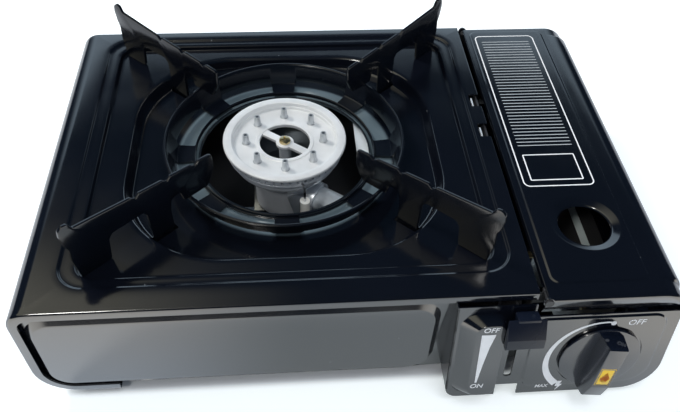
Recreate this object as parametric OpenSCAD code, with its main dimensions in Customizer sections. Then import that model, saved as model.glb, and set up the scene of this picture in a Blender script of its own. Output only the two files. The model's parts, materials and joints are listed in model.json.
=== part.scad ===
// Table-top cassette stove for a butane cartridge.
// Millimetres. X runs to the right, Y to the back and Z up from the table.
// The origin is under the middle of the stove.

/* [Casing] */
// Overall width of the casing
case_w = 350; // [335:1:380]
// Depth of the top sheet, from its front edge to the back
case_d = 238; // [230:1:260]
// Height of the top sheet above the table
top_z = 82; // [78:1:95]
// Thickness of the pressed steel sheet
sheet = 1; // [0.8:0.1:1.2]
// Lean of the control panel, in degrees
lean = 10; // [6:1:12]
// Width of the cartridge bay, right of the cover
bay_w = 81; // [80:0.5:84]
// Radius of the cover's upper left edge
cover_top_r = 12; // [8:1:16]
// Radius of the lower corners of the casing
cover_low_r = 22; // [16:1:26]
// Width of the flange that frames the front and the back
rim_w = 5.5; // [4:0.5:6]
// Length of the casing's return under the stove
return_w = 44; // [40:1:60]
// Height of the rubber feet
foot_h = 5.5; // [5:0.5:8]
// Radius of the rubber feet
foot_r = 8; // [6:1:10]
// Distance of the feet from the sides
foot_in = 26; // [22:1:32]

/* [Recess] */
// Margin between the left side and the bead around the recess
bead_left = 21.5; // [20:0.5:24]
// Margin between the bead and the cover's right edge
bead_right = 8.5; // [8:0.5:10]
// Margin between the front edge and the bead
bead_front = 14; // [12:0.5:16]
// Margin between the bead and the back edge
bead_back = 9; // [8:0.5:12]
// Drop at the bead
bead_drop = 1.2; // [1:0.1:1.6]
// Width of the band between the bead and the main step, left and right
band_w = 8; // [6:0.5:9]
// Width of that band at the front and the back
band_d = 6.75; // [5:0.25:8]
// Level of the corner flats below the top sheet
step_drop = 4; // [3.5:0.5:6]
// Width of the flat beside the dish, left and right
flat_w = 17.5; // [15:0.5:19]
// Width of the flat beside the dish, front and back
flat_d = 12.25; // [10:0.25:14]
// Corner radius of the dish
dish_r = 62; // [58:1:66]
// Level of the dish floor below the top sheet
dish_drop = 12; // [11:0.5:14]
// Radius of the burner opening in the dish
well_r = 52; // [50:0.5:53]

/* [Pan support] */
// Radius of the ring at its outer bead
ring_r = 73; // [71:1:75]
// Radius of the inner collar of the ring
collar_r = 54.5; // [54:0.5:56]
// Height of the ring's outer bead above the top sheet
ring_top = 3.5; // [2:0.5:5]
// Depth of the ring's gutter below the top sheet
ring_low = 9.5; // [8:0.5:10]
// Number of slots in the ring
ring_slots = 8; // [4:1:9]
// Angle that one slot spans
slot_span = 34; // [20:1:36]
// Thickness of the four arms
arm_t = 2; // [1.5:0.1:2.5]
// Margin between the arms' outer ends and the edge of the main step
arm_margin = 2.3; // [2:0.1:4]
// Height of the arms' tips above the top sheet
arm_h = 36; // [30:1:40]
// Gap under the feet of the arms
seat_gap = 0.2; // [0.1:0.1:0.4]

/* [Burner] */
// Radius of the burner head
head_r = 37.5; // [35:0.5:40]
// Height of the head's rim above the top sheet
head_top = 2; // [0:0.5:5]
// Width of the head's flat rim
head_rim = 5.5; // [4:0.5:7]
// Depth of the dish in the head
head_dish = 4; // [3:0.5:5]
// Radius of the hole in the middle of the head
head_hole = 15.4; // [13:0.2:17]
// Number of hollow posts
post_n = 8; // [4:1:12]
// Radius of the circle of posts
post_circle = 23.6; // [21:0.2:26]
// Middle radius of a post, which tapers upwards
post_r = 1.9; // [1.6:0.1:2.4]
// Height of a post above the dish of the head
post_h = 6.5; // [5:0.5:8]
// Number of flame ports under the rim
port_n = 48; // [24:4:60]
// Height of the axis of the mixing tube above the table
tube_z = 44; // [42:1:46]
// Outer radius of the mixing tube
tube_r = 8.5; // [7:0.5:10]

/* [Cartridge bay] */
// Gap between the cover and the lid
lid_gap = 3.5; // [3:0.5:4]
// Radius of the lid's rolled side
lid_roll = 20; // [16:1:24]
// Radius of the lid's side at its two ends
lid_end_r = 17; // [14:1:20]
// Length of the fuller ends of the lid
lid_end = 11; // [8:1:16]
// Height of the lid's front and back flanges
lid_flange = 15.6; // [12:0.2:18]
// Height of the lid's side
lid_side = 30; // [26:1:34]
// Radius of the window in the lid
window_r = 14.5; // [12:0.5:17]
// Radius of the dished rim of the window
window_rim = 19.5; // [18:0.5:22]
// Distance of the window from the front edge
window_y_in = 46; // [42:1:60]
// Largest angle of the open lid
lid_open = 92; // [80:1:95]
// Radius of the hinge pins
pin_r = 1.2; // [1:0.1:1.3]
// Radius of a gas cartridge
can_r = 33.5; // [32:0.5:34]
// Height of the cartridge's axis above the table
can_z = 43.5; // [43:0.5:45]
// Distance of the cartridge's axis from the right side
can_in = 40; // [39:0.5:41]

/* [Controls] */
// Width of the control panel's part beside the bay
panel_w = 42; // [41:0.5:43]
// Height of the knob's axis above the table, at the panel
knob_z = 34; // [31:0.5:35]
// Radius of the knob's skirt
knob_r = 22.5; // [20:0.5:24]
// Height of the knob's grip above the plane of the casing's front
knob_h = 15; // [13:0.5:18]
// Width of the knob's grip at its top
grip_w = 10.5; // [10:0.5:13]
// Length of the knob's grip
grip_l = 41; // [38:1:42]
// Largest turn of the knob
knob_turn = 150; // [120:5:170]
// Radius of the valve spindle
spindle_r = 3; // [2.5:0.1:4]
// Distance of the lever's slot from the cover's right edge
lever_in = 8.2; // [7.6:0.2:9]
// Travel of the lever
lever_travel = 26; // [22:1:27]
// Travel of the cartridge pusher
push_travel = 7; // [5:0.5:8]
// Width of the lever's knob
lever_knob_w = 20; // [16:1:22]
// Height of the ridge beside the lever
ridge_h = 8; // [6:0.5:10]

/* [Hidden] */

$fn = 64;

// Fits
run_gap = 0.05;
snug = 0.02;
free_gap = 0.3;
touch = 0.1;
far = 500;

// Main planes of the casing
left = -case_w / 2;
right = case_w / 2;
cover_w = case_w - bay_w;
cover_x = left + cover_w;
base_z = foot_h;
tray_z = foot_h + 2 * sheet;
lid_x = cover_x + lid_gap;

// How far the knob stands in front of the top sheet's edge
grip_slope = 11;
grip_shift = -1.5;
grip_tilt = -7.5;
knob_drop = top_z - knob_z;
grip_low = (grip_l / 2 - grip_shift - grip_slope) * cos(grip_tilt) - grip_w / 2 * sin(grip_tilt);
knob_reach = knob_drop * tan(lean) + knob_h * cos(lean) + grip_low * sin(lean);
front = -(case_d - knob_reach) / 2;
back = front + case_d;

// Depths of the plates behind the front plane
field_h = 1;
left_panel_y = sheet + touch + 1.5;
left_field_y = 0.4;
// The control panel lies on the front of the casing, not behind it
panel_y = -sheet - touch;

// Panel on the left
leg_clear = 5;
panel_x = cover_x - panel_w;
field_margin = 9;
field_r = 12;

// Lid
hinge_x = lid_x + 0.5;
hinge_z = top_z - 3;
ear_r = 3;
lid_front = front - 4;
lid_back = back - 1.2;
flange_start = 8;
window_x = lid_x + 34;
window_y = front + window_y_in;
window_drop = 2.5;

// Recess and burner
bead_w = cover_w - bead_left - bead_right;
bead_d = case_d - bead_front - bead_back;
step_w = bead_w - 2 * band_w;
step_d = bead_d - 2 * band_d;
dish_w = step_w - 2 * flat_w;
dish_d = step_d - 2 * flat_d;
bx = left + bead_left + bead_w / 2;
by = front + bead_front + bead_d / 2;
arm_x = step_w / 2 - arm_margin;
arm_y = step_d / 2 - arm_margin;
arm_r = norm([arm_x, arm_y]);
arm_angle = atan2(arm_y, arm_x);
leg_r = ring_r + 12.5;
leg_w = 13.5;
bead_r = 16;
step_r = 12;
collar_up = 2;
head_z = top_z + head_top;
cup_top = head_z - 7;
cup_low = tube_z - tube_r - 4;
cup_r = head_r - 4.5;

// Cartridge bay
can_x = right - can_in;
wall_x = cover_x - sheet;
bay_front = front + 48;
bay_back = back - 20;
cradle_gap = 1.6;
strip_w = 12;
strip_t = 1;
strip_z = tray_z + free_gap;
plate_y = back - 17;
plate_h = 48;
// The plate passes between the feet of the cradle
cradle_foot_x = (can_r + cradle_gap + sheet) * cos(70) + 0.5;
plate_w = 2 * (cradle_foot_x - sheet / 2 - 1);

// Lever and its cam slot, seen in the frame of the leaning front
lever_x = cover_x - lever_in;
lever_t = 1.8;
cam_pin_r = 1.8;
cam_y = 16;
cam_z = -37;
cam_dy = push_travel * cos(lean);
cam_dz = lever_travel - push_travel * sin(lean);
cam_pin_y = front + cam_y * cos(lean) + cam_z * sin(lean);
cam_pin_z = top_z - cam_y * sin(lean) + cam_z * cos(lean);
ear_x = lever_x + lever_t / 2 + 1.2;
ear_t = 1.6;
ear_back = front + 29;

// Knob and regulator
knob_x = can_x;
knob_lift = 2.7;
gland_r = 5;
regulator_r = 20;
regulator_y1 = front + 18;
regulator_y2 = front + 38;
inlet_r = 8;
cap_r = 12;
cap_z = can_z + regulator_r - cap_r;
bracket_y = regulator_y2 + touch;
outlet_in = 8;
outlet_x = can_x - outlet_in;

// Injector and mixing tube
nozzle_x = wall_x - 21;
nozzle_y = front + 42;
tube_len = norm([nozzle_x - bx, nozzle_y - by]);
tube_angle = atan2(nozzle_y - by, nozzle_x - bx);
injector_len = 10;
pipe_r = 2;
pipe_z = top_z - 11;
pipe_turn = tube_len + injector_len + 4;
pipe_x = bx + pipe_turn * cos(tube_angle);
pipe_y = by + pipe_turn * sin(tube_angle);

// Ignition
igniter_x1 = right - 17;
igniter_x2 = right - 5;
electrode_a = -75;
electrode_turn = head_r + 4;
electrode_x = bx + electrode_turn * cos(electrode_a);
electrode_y = by + electrode_turn * sin(electrode_a);
lead_r = 1.2;

// Colours
gloss_black = [0.05, 0.055, 0.065];
satin_black = [0.09, 0.09, 0.1];
zinc = [0.72, 0.73, 0.75];
alloy = [0.8, 0.8, 0.8];
brass = [0.78, 0.62, 0.3];
rubber = [0.12, 0.12, 0.12];
plastic = [0.04, 0.04, 0.06];
yellow = [0.95, 0.78, 0.1];
ceramic = [0.93, 0.92, 0.88];

// ---- Shapes that repeat ----

module block(x1, x2, y1, y2, z1, z2) {
    translate([x1, y1, z1]) cube([x2 - x1, y2 - y1, z2 - z1]);
}

module rounded_rect(w, d, r) {
    square([w - 2 * r, d], center = true);
    square([w, d - 2 * r], center = true);
    for (i = [-1, 1], j = [-1, 1]) {
        translate([i * (w / 2 - r), j * (d / 2 - r)]) circle(r);
    }
}

// Draws in X and Z, and runs from y1 to y2
module along_y(y1, y2) {
    translate([0, y2, 0]) rotate([90, 0, 0]) linear_extrude(y2 - y1) children();
}

// A cylinder that runs along Y
module rod_y(x, z, y1, y2, r) {
    translate([x, y2, z]) rotate([90, 0, 0]) cylinder(y2 - y1, r, r);
}

// A cylinder that runs along X
module rod_x(x1, x2, y, z, r) {
    translate([x1, y, z]) rotate([0, 90, 0]) cylinder(x2 - x1, r, r);
}

// A cylinder from one point to another
module rod(p, q, r) {
    v = q - p;
    translate(p) rotate([0, acos(v[2] / norm(v)), atan2(v[1], v[0])]) cylinder(norm(v), r, r);
}

// A wire or pipe through a row of points, with round bends
module wire(points, r) {
    for (i = [1:len(points) - 1]) {
        rod(points[i - 1], points[i], r);
    }
    // Turned so that the poles of the spheres lie clear of the rods
    for (i = [1:len(points) - 2]) {
        translate(points[i]) rotate([17, 23, 31]) sphere(r + run_gap);
    }
}

// Frame of the knob: Y runs up the panel and Z points outwards
module knob_axis() {
    translate([knob_x, front - knob_drop * tan(lean), knob_z]) rotate([90 - lean, 0, 0]) children();
}

module knob_rod(z1, z2, r) {
    knob_axis() translate([0, 0, z1]) cylinder(z2 - z1, r, r);
}

// Frame of the leaning front: Y goes into the casing and Z runs up the face
module on_front(tilt = lean) {
    translate([0, front, top_z]) rotate([-tilt, 0, 0]) children();
}

module front_layer(y1, y2, tilt = lean) {
    on_front(tilt) block(-far, far, y1, y2, -far, far);
}

// Section of the casing's left half, drawn inset from its outer face
module half_section(inset, w, r_high, r_low) {
    x1 = left + inset;
    z1 = base_z + inset;
    z2 = top_z - inset;
    rl = r_low - inset;
    rh = r_high - inset;
    translate([x1, z1 + rl]) square([w - inset, z2 - z1 - rl - rh]);
    translate([x1 + rl, z1]) square([w - inset - rl, rl]);
    translate([x1 + rh, z2 - rh]) square([w - inset - rh, rh]);
    translate([x1 + rl, z1 + rl]) circle(rl);
    translate([x1 + rh, z2 - rh]) circle(rh);
}

module left_section(inset, w = cover_w) {
    half_section(inset, w, cover_top_r, cover_low_r);
}

module right_section(inset, w) {
    mirror([1, 0]) half_section(inset, w, lid_end_r, cover_low_r);
}

// Where the feet, the tray screws and their holes are
module at_feet() {
    for (x = [left + foot_in, right - foot_in], y = [front + 14, back - 14]) {
        translate([x, y, 0]) children();
    }
}

module at_tray_screws() {
    for (x = [left + return_w - 10, right - return_w + 10], y = [front + 30, back - 30]) {
        translate([x, y, 0]) children();
    }
}

foot_plug_r = 2.5;
screw_r = 1.5;
screw_head_r = 3;

module base_holes() {
    at_feet() cylinder(tray_z, foot_plug_r + run_gap, foot_plug_r + run_gap);
    at_tray_screws() cylinder(tray_z + 1, screw_r + run_gap, screw_r + run_gap);
}

// ---- Casing ----

module recess_plate(drop, w, d, r) {
    translate([bx, by, top_z - drop - sheet]) linear_extrude(sheet) difference() {
        rounded_rect(w, d, r);
        children();
    }
}

module recess_wall(high, low, w, d, r) {
    translate([bx, by, top_z - low - sheet]) linear_extrude(low - high + sheet) difference() {
        rounded_rect(w, d, r);
        rounded_rect(w - 2 * sheet, d - 2 * sheet, r - sheet);
    }
}

// Feet of the arms pass through these slots in the dish
module arm_slots() {
    for (a = [arm_angle, 180 - arm_angle, 180 + arm_angle, -arm_angle]) {
        translate([bx, by, 0]) rotate([0, 0, a])
            block(leg_r - 1.5, leg_r + leg_w + 1.5, -arm_t / 2 - 1, arm_t / 2 + 1, 0, top_z);
    }
}

notch_ys = [front + 125, front + 154];
notch_w = 12;
notch_in = 7;

module top_cover() color(gloss_black) {
    difference() {
        union() {
            difference() {
                along_y(front - 30, back) left_section(0);
                along_y(front - 31, back + 1) left_section(sheet, cover_w + 1);
                block(left + return_w, right, -far, far, 0, tray_z);
                translate([bx, by, top_z - 3]) linear_extrude(far)
                    rounded_rect(bead_w - 2 * sheet, bead_d - 2 * sheet, bead_r - sheet);
            }
            // The rim is upright on the left and leans beside the controls
            intersection() {
                along_y(front - 30, front + 30) difference() {
                    left_section(0);
                    left_section(rim_w, cover_w + 1);
                }
                front_layer(0, sheet);
                block(panel_x, far, -far, far, top_z - 20, far);
            }
            difference() {
                along_y(front, front + sheet) difference() {
                    left_section(0);
                    left_section(rim_w, cover_w + 1);
                }
                block(left + return_w, right, -far, far, 0, tray_z + rim_w);
                block(panel_x + sheet, right, -far, far, 0, far);
            }
            difference() {
                along_y(back - sheet, back) difference() {
                    left_section(0);
                    left_section(rim_w, cover_w + 1);
                }
                block(left + return_w, right, -far, far, 0, tray_z + rim_w);
            }
            block(cover_x - sheet, cover_x, front, back, top_z - 4, top_z);
            recess_wall(0, bead_drop, bead_w, bead_d, bead_r);
            recess_plate(bead_drop, bead_w, bead_d, bead_r)
                rounded_rect(step_w - 2 * sheet, step_d - 2 * sheet, step_r - sheet);
            recess_wall(bead_drop, step_drop, step_w, step_d, step_r);
            recess_plate(step_drop, step_w, step_d, step_r)
                rounded_rect(dish_w - 2 * sheet, dish_d - 2 * sheet, dish_r - sheet);
            recess_wall(step_drop, dish_drop, dish_w, dish_d, dish_r);
            recess_plate(dish_drop, dish_w, dish_d, dish_r) circle(well_r);
            translate([bx, by, top_z - dish_drop - sheet]) difference() {
                cylinder(sheet + collar_up, well_r + sheet, well_r + sheet);
                translate([0, 0, -1]) cylinder(sheet + collar_up + 2, well_r, well_r);
            }
        }
        front_layer(-far, 0);
        block(-far, panel_x, -far, front, 0, far);
        intersection() {
            arm_slots();
            block(-far, far, -far, far, 0, top_z - step_drop - 3);
        }
        for (y = notch_ys) {
            block(cover_x - notch_in, far, y - notch_w / 2, y + notch_w / 2, top_z - 5, far);
        }
        base_holes();
    }
}

side_top = top_z - lid_side - 1;
side_w = 75;

module side_casing() color(gloss_black) {
    difference() {
        union() {
            difference() {
                along_y(front - 30, back) right_section(0, side_w);
                along_y(front - 31, back + 1) right_section(sheet, side_w + 1);
            }
            intersection() {
                along_y(front - 30, front + 30) difference() {
                    right_section(0, side_w);
                    right_section(rim_w, side_w + 1);
                }
                front_layer(0, sheet);
            }
            along_y(back - sheet, back) difference() {
                right_section(0, side_w);
                right_section(rim_w, side_w + 1);
            }
        }
        front_layer(-far, 0);
        block(-far, far, -far, far, side_top, far);
        block(-far, right - return_w, -far, far, 0, far);
        base_holes();
    }
}

tray_in = cover_low_r + 2;
tray_front = front + 8;
tray_back = back - 6;
tray_lip = 6;

module bottom_tray() color(satin_black) {
    x1 = left + tray_in;
    x2 = right - tray_in;
    difference() {
        block(x1, x2, tray_front, tray_back, base_z + sheet, tray_z + tray_lip);
        block(x1 + sheet, x2 + 1, tray_front + sheet, tray_back - sheet, tray_z, far);
        at_tray_screws() cylinder(far, screw_r + run_gap, screw_r + run_gap);
        // Notch in the front lip for the lever's plate
        block(lever_x - lever_t / 2 - 2, lever_x + lever_t / 2 + 2,
            tray_front - 1, tray_front + sheet + 1, tray_z, far);
        // Vent slots
        for (i = [-3:3]) {
            block(bx + i * 14 - 2.5, bx + i * 14 + 2.5, by - 78, by - 42, 0, far);
        }
    }
}

module field_section(inset, x1, x2, z1, z2, r) {
    translate([(x1 + x2) / 2, (z1 + z2) / 2])
        rounded_rect(x2 - x1 - 2 * inset, z2 - z1 - 2 * inset, r - inset);
}

// A panel of the front with a raised field in it
module pressed_panel(base_y, field_y, tilt = lean) {
    intersection() {
        front_layer(base_y, base_y + sheet, tilt);
        along_y(front - 40, front + 40) difference() {
            children(0);
            children(2);
        }
    }
    intersection() {
        front_layer(field_y, field_y + sheet, tilt);
        along_y(front - 40, front + 40) children(1);
    }
    intersection() {
        front_layer(field_y, base_y + sheet, tilt);
        along_y(front - 40, front + 40) difference() {
            children(1);
            children(2);
        }
    }
}

module left_field(inset) {
    field_section(inset, left + field_margin, panel_x - field_margin,
        base_z + leg_clear + 3, top_z - field_margin, field_r);
}

module front_panel() color(gloss_black) {
    pressed_panel(left_panel_y, left_field_y, 0) {
        intersection() {
            left_section(sheet + touch);
            translate([left, base_z + leg_clear]) square([panel_x - touch - left, top_z]);
        }
        left_field(0);
        left_field(sheet);
    }
}

knob_field_x = wall_x + 2;
panel_high = top_z - 7;
// Right of the cover the panel ends below the lid's flange
knob_panel_high = top_z - lid_flange - 0.4;
panel_notch = 13;
// The panel hangs a little below the casing
panel_drop = 2;
ridge_low = -74;
ridge_high = -13;
ridge_xs = [panel_x + 2.5, panel_x + 11, panel_x + 25, panel_x + 28.5];
slot_low = -63;
slot_high = -14;
groove_w = 1.2;

module knob_field(inset) {
    intersection() {
        field_section(inset, knob_field_x, right - 8, base_z + 3.5, knob_panel_high - 1.5, 8);
        right_section(rim_w + free_gap + inset, bay_w + panel_w);
    }
}

module ridge_section(inset, y0) {
    polygon([[ridge_xs[0] + inset, y0], [ridge_xs[1] + inset / 2, inset - ridge_h],
        [ridge_xs[2] - inset / 2, inset - ridge_h], [ridge_xs[3] - inset, y0]]);
}

module control_panel() color(gloss_black) {
    difference() {
        union() {
            pressed_panel(panel_y, panel_y - field_h) {
                difference() {
                    intersection() {
                        translate([0, -panel_drop]) right_section(sheet, bay_w + panel_w);
                        union() {
                            translate([panel_x, 0]) square([cover_x - panel_x, panel_high]);
                            translate([panel_x, 0]) square([case_w, knob_panel_high]);
                        }
                    }
                    translate([ridge_xs[3], 0]) square([knob_field_x - 1.5 - ridge_xs[3], panel_notch]);
                }
                knob_field(0);
                knob_field(sheet);
            }
            on_front() translate([0, 0, ridge_low]) linear_extrude(ridge_high - ridge_low)
                ridge_section(0, panel_y);
            // The left side runs back to the upright panel
            difference() {
                block(panel_x, panel_x + sheet, front - 40, front + left_panel_y + sheet,
                    base_z + leg_clear, panel_high);
                front_layer(-far, panel_y);
            }
        }
        on_front() translate([0, 0, ridge_low + sheet])
            linear_extrude(ridge_high - ridge_low - 2 * sheet) ridge_section(sheet, panel_y + far);
        on_front() block(lever_x - 2.2, lever_x + 2.2, -4, far, slot_low, slot_high);
        knob_rod(-10, 10, spindle_r + 1.5);
        // Groove round the knob's skirt
        knob_axis() difference() {
            translate([0, 0, 1.5]) cylinder(5, knob_r + groove_w, knob_r + groove_w);
            cylinder(8, knob_r, knob_r);
        }
    }
}

back_y = lid_back - 2 * sheet - free_gap;
back_slots = 9;

module back_panel() color(gloss_black) {
    difference() {
        along_y(back_y, back_y + sheet) intersection() {
            union() {
                intersection() {
                    left_section(sheet + touch);
                    translate([left, 0]) square([cover_w - 1, far]);
                }
                intersection() {
                    right_section(sheet + touch, case_w - cover_w + 1);
                    translate([left, 0]) square([case_w, top_z - 7]);
                }
            }
            translate([left, tray_z + touch]) square([case_w, far]);
        }
        for (i = [0:back_slots - 1]) {
            block(bx - 60 + i * 15 - 2, bx - 60 + i * 15 + 2, back - 10, back + 10, 40, 62);
        }
        at_panel_screws() translate([0, 0, -5]) cylinder(10, screw_r + snug, screw_r + snug);
    }
}

module partition() color(zinc) {
    x1 = wall_x - sheet;
    ear_y1 = front + 2.5;
    ear_y2 = back_y - touch;
    difference() {
        union() {
            block(x1, wall_x, tray_front + sheet, ear_y2, tray_z, top_z - 2 * sheet);
            block(x1, wall_x, ear_y1, tray_front + sheet + 1, 30, top_z - 2 * sheet);
            // Eyes for the hinge pins, below the swing of the lid
            for (y = [ear_y1, ear_y2 - sheet]) {
                block(x1, hinge_x + 3, y, y + sheet, top_z - 12, hinge_z - 1);
                rod_y(hinge_x, hinge_z, y, y + sheet, pin_r + 0.45);
            }
        }
        rod_y(hinge_x, hinge_z, front - 5, back, pin_r + snug);
        // Ways through for the tray's lip, the pusher, the gas pipe, the lead and the heat plate
        block(x1 - 1, wall_x + 1, tray_back - sheet - touch, tray_back + touch, 0,
            tray_z + tray_lip + touch);
        block(x1 - 1, wall_x + 1, tray_front, front + 70, 0, tray_z + 6);
        rod_x(x1 - 1, wall_x + 1, pipe_y, pipe_z, pipe_r + 1);
        block(x1 - 1, wall_x + 1, heat_y1 - 0.5, heat_y2 + 0.5, heat_z - 0.5, heat_z + 1.5);
        for (y = heat_rivet_ys) {
            rod_x(x1 - 1, wall_x + 1, y, heat_rivet_z, rivet_r + snug);
        }
    }
}

module rubber_feet() color(rubber) {
    at_feet() {
        cylinder(foot_h, foot_r, foot_r);
        cylinder(foot_h + sheet, foot_plug_r, foot_plug_r);
    }
}

module tray_screws() color(zinc) {
    at_tray_screws() {
        translate([0, 0, base_z - 1.8]) cylinder(1.8, screw_head_r, screw_head_r);
        // The tips end level with the tray, below the push strip
        translate([0, 0, base_z - 1]) cylinder(tray_z - base_z + 1, screw_r, screw_r);
    }
}

module at_panel_screws() {
    for (z = [30, 62], x = [left + 20, cover_x - 14]) {
        translate([x, back_y, z]) rotate([90, 0, 0]) children();
    }
}

module panel_screws() color(zinc) {
    at_panel_screws() {
        translate([0, 0, -sheet]) cylinder(sheet + 4, screw_r, screw_r);
        translate([0, 0, -sheet - 1.2]) cylinder(1.2, screw_head_r, screw_head_r);
    }
}

// ---- Lid ----

module lid_section(inset, r) {
    x1 = lid_x - (inset > 0 ? 1 : 0);
    z1 = top_z - lid_side - (inset > 0 ? 1 : 0);
    translate([x1, z1]) square([right - inset - x1, top_z - r - z1]);
    translate([x1, top_z - r]) square([right - r - x1, r - inset]);
    intersection() {
        translate([right - r, top_z - r]) circle(r - inset);
        translate([x1, top_z - r]) square(case_w);
    }
}

module lid_shell(y1, y2, r) {
    along_y(y1, y2) difference() {
        lid_section(0, r);
        lid_section(sheet, r);
    }
}

module lid() color(gloss_black) {
    difference() {
        union() {
            lid_shell(lid_front, lid_front + lid_end, lid_end_r);
            lid_shell(lid_front + lid_end - sheet / 2, lid_back - lid_end + sheet / 2, lid_roll);
            lid_shell(lid_back - lid_end, lid_back, lid_end_r);
            // Webs where the fuller ends meet the rolled side
            for (y = [lid_front + lid_end - sheet, lid_back - lid_end]) {
                along_y(y, y + sheet) difference() {
                    lid_section(0, lid_end_r);
                    lid_section(sheet, lid_roll);
                }
            }
            for (y = [lid_front, lid_back - sheet]) {
                along_y(y, y + sheet) intersection() {
                    lid_section(0, lid_end_r);
                    translate([0, top_z - lid_flange]) square(case_w);
                }
                rod_y(hinge_x, hinge_z, y, y + sheet, ear_r);
            }
            block(lid_x, lid_x + sheet, front + flange_start, back - flange_start,
                top_z - 4, top_z);
        }
        for (y = [lid_front, lid_back - sheet]) {
            rod_y(hinge_x, hinge_z, y - 1, y + sheet + 1, pin_r + run_gap);
        }
        translate([window_x, window_y, top_z - 5]) cylinder(10, window_rim - sheet, window_rim - sheet);
    }
    translate([window_x, window_y, 0]) rotate_extrude() polygon([
        [window_r, top_z - window_drop - sheet], [window_r + 1, top_z - window_drop - sheet],
        [window_rim, top_z - sheet], [window_rim, top_z],
        [window_rim - sheet, top_z], [window_r, top_z - window_drop]]);
}

module hinge_pins() color(zinc) {
    rod_y(hinge_x, hinge_z, lid_front - touch, front + 5, pin_r);
    rod_y(hinge_x, hinge_z, lid_front - touch - 1, lid_front - touch, pin_r + 1.2);
    rod_y(hinge_x, hinge_z, back_y - 3, lid_back + touch, pin_r);
    rod_y(hinge_x, hinge_z, lid_back + touch, lid_back + touch + 1, pin_r + 1.2);
}

// ---- Cartridge bay ----

// A stretch of a round trough, between two angles
module trough_section(r1, r2, a1, a2) {
    reach = 2 * r2;
    intersection() {
        difference() {
            circle(r2);
            circle(r1);
        }
        polygon([[0, 0], [reach * cos(a1), reach * sin(a1)],
            [reach * cos((a1 + a2) / 2), reach * sin((a1 + a2) / 2)],
            [reach * cos(a2), reach * sin(a2)]]);
    }
}

module cartridge_cradle() color(satin_black) {
    r1 = can_r + cradle_gap;
    r2 = r1 + sheet;
    along_y(bay_front, bay_back) {
        translate([can_x, can_z]) {
            trough_section(r1, r2, 205, 250);
            trough_section(r1, r2, 290, 335);
        }
        for (i = [-1, 1]) {
            translate([can_x + i * cradle_foot_x - sheet / 2, tray_z])
                square([sheet, can_z - r2 * sin(70) - tray_z + 0.5]);
        }
    }
}

module guide_rail() color(ceramic) {
    r2 = can_r + cradle_gap;
    along_y(bay_front + 2, bay_back - 2) translate([can_x, can_z])
        trough_section(r2 - 0.9, r2 - run_gap / 2, 312, 320);
}

// Strip under the cartridge, with an ear and a pin that follow the lever's cam slot
module push_strip() color(zinc) {
    strip_front = ear_back - strip_w;
    block(can_x - strip_w / 2, can_x + strip_w / 2, strip_front, plate_y + 1, strip_z, strip_z + strip_t);
    block(ear_x, can_x, strip_front, ear_back, strip_z, strip_z + strip_t);
    block(ear_x, ear_x + ear_t, strip_front, ear_back, strip_z, cam_pin_z + 4);
    block(ear_x, ear_x + ear_t, cam_pin_y - 4, ear_back, cam_pin_z - 4, cam_pin_z + 4);
    rod_x(lever_x - lever_t / 2 - 0.2, ear_x + 1, cam_pin_y, cam_pin_z, cam_pin_r);
    block(can_x - plate_w / 2, can_x + plate_w / 2, plate_y, plate_y + 1.2, strip_z, strip_z + plate_h);
}

// ---- Lever ----

// The plate moves behind the panel and its neck comes out of the slot
module lever_plate() color(zinc) {
    x1 = lever_x - lever_t / 2;
    x2 = lever_x + lever_t / 2;
    slot_w = 2 * (cam_pin_r + run_gap);
    on_front() difference() {
        union() {
            block(x1, x2, 3.4, cam_y + 5, cam_z - 5, cam_z + cam_dz + 4);
            block(x1, x2, -8, 3.4, cam_z + 9, cam_z + 19);
        }
        translate([x1 - 1, cam_y, cam_z]) rotate([atan2(cam_dz, -cam_dy), 0, 0]) {
            translate([0, 0, -slot_w / 2]) cube([lever_t + 2, norm([cam_dy, cam_dz]), slot_w]);
            for (y = [0, norm([cam_dy, cam_dz])]) {
                translate([0, y, 0]) rotate([0, 90, 0]) cylinder(lever_t + 2, slot_w / 2, slot_w / 2);
            }
        }
    }
}

lever_knob_x = lever_x - 9;
lever_knob_high = -10;
lever_knob_low = -27;
lever_neck_x = lever_x - 4;

module lever_knob() color(plastic) {
    x1 = lever_x - lever_t / 2 - snug;
    on_front() difference() {
        union() {
            translate([lever_knob_x, 0, 0]) rotate([90, 0, 90]) linear_extrude(lever_knob_w) polygon([
                [-ridge_h - 0.5, lever_knob_high], [-11, lever_knob_high], [-13, lever_knob_high - 4],
                [-13, lever_knob_low], [-11, lever_knob_low - 2], [-ridge_h - 0.5, lever_knob_low - 2]]);
            block(lever_neck_x, lever_neck_x + 12, -ridge_h - 1, -2.5, lever_knob_low - 2, lever_knob_high);
        }
        block(x1, x1 + lever_t + 2 * snug, -8 - snug, 2, cam_z + 9 - snug, cam_z + 19 + snug);
    }
}

// Bracket behind the panel that the lever's plate slides along
module lever_guide() color(satin_black) {
    x2 = lever_x - lever_t / 2 - 0.5;
    y1 = panel_y + sheet + touch;
    on_front() {
        block(x2 - 1.5, x2, y1, cam_y + 5, cam_z - lever_travel, cam_z + cam_dz + 4);
        block(x2 - 9, x2, y1, y1 + sheet, cam_z - lever_travel, cam_z + cam_dz + 4);
    }
}

// ---- Knob and regulator ----

skirt_t = 1.4;
grip_flare = 1.5;
bore_end = knob_h - 3;
insert_w = 8.6;
insert_l = 13.4;
insert_y = grip_slope + grip_shift - grip_l / 2 + 1.8;

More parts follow.
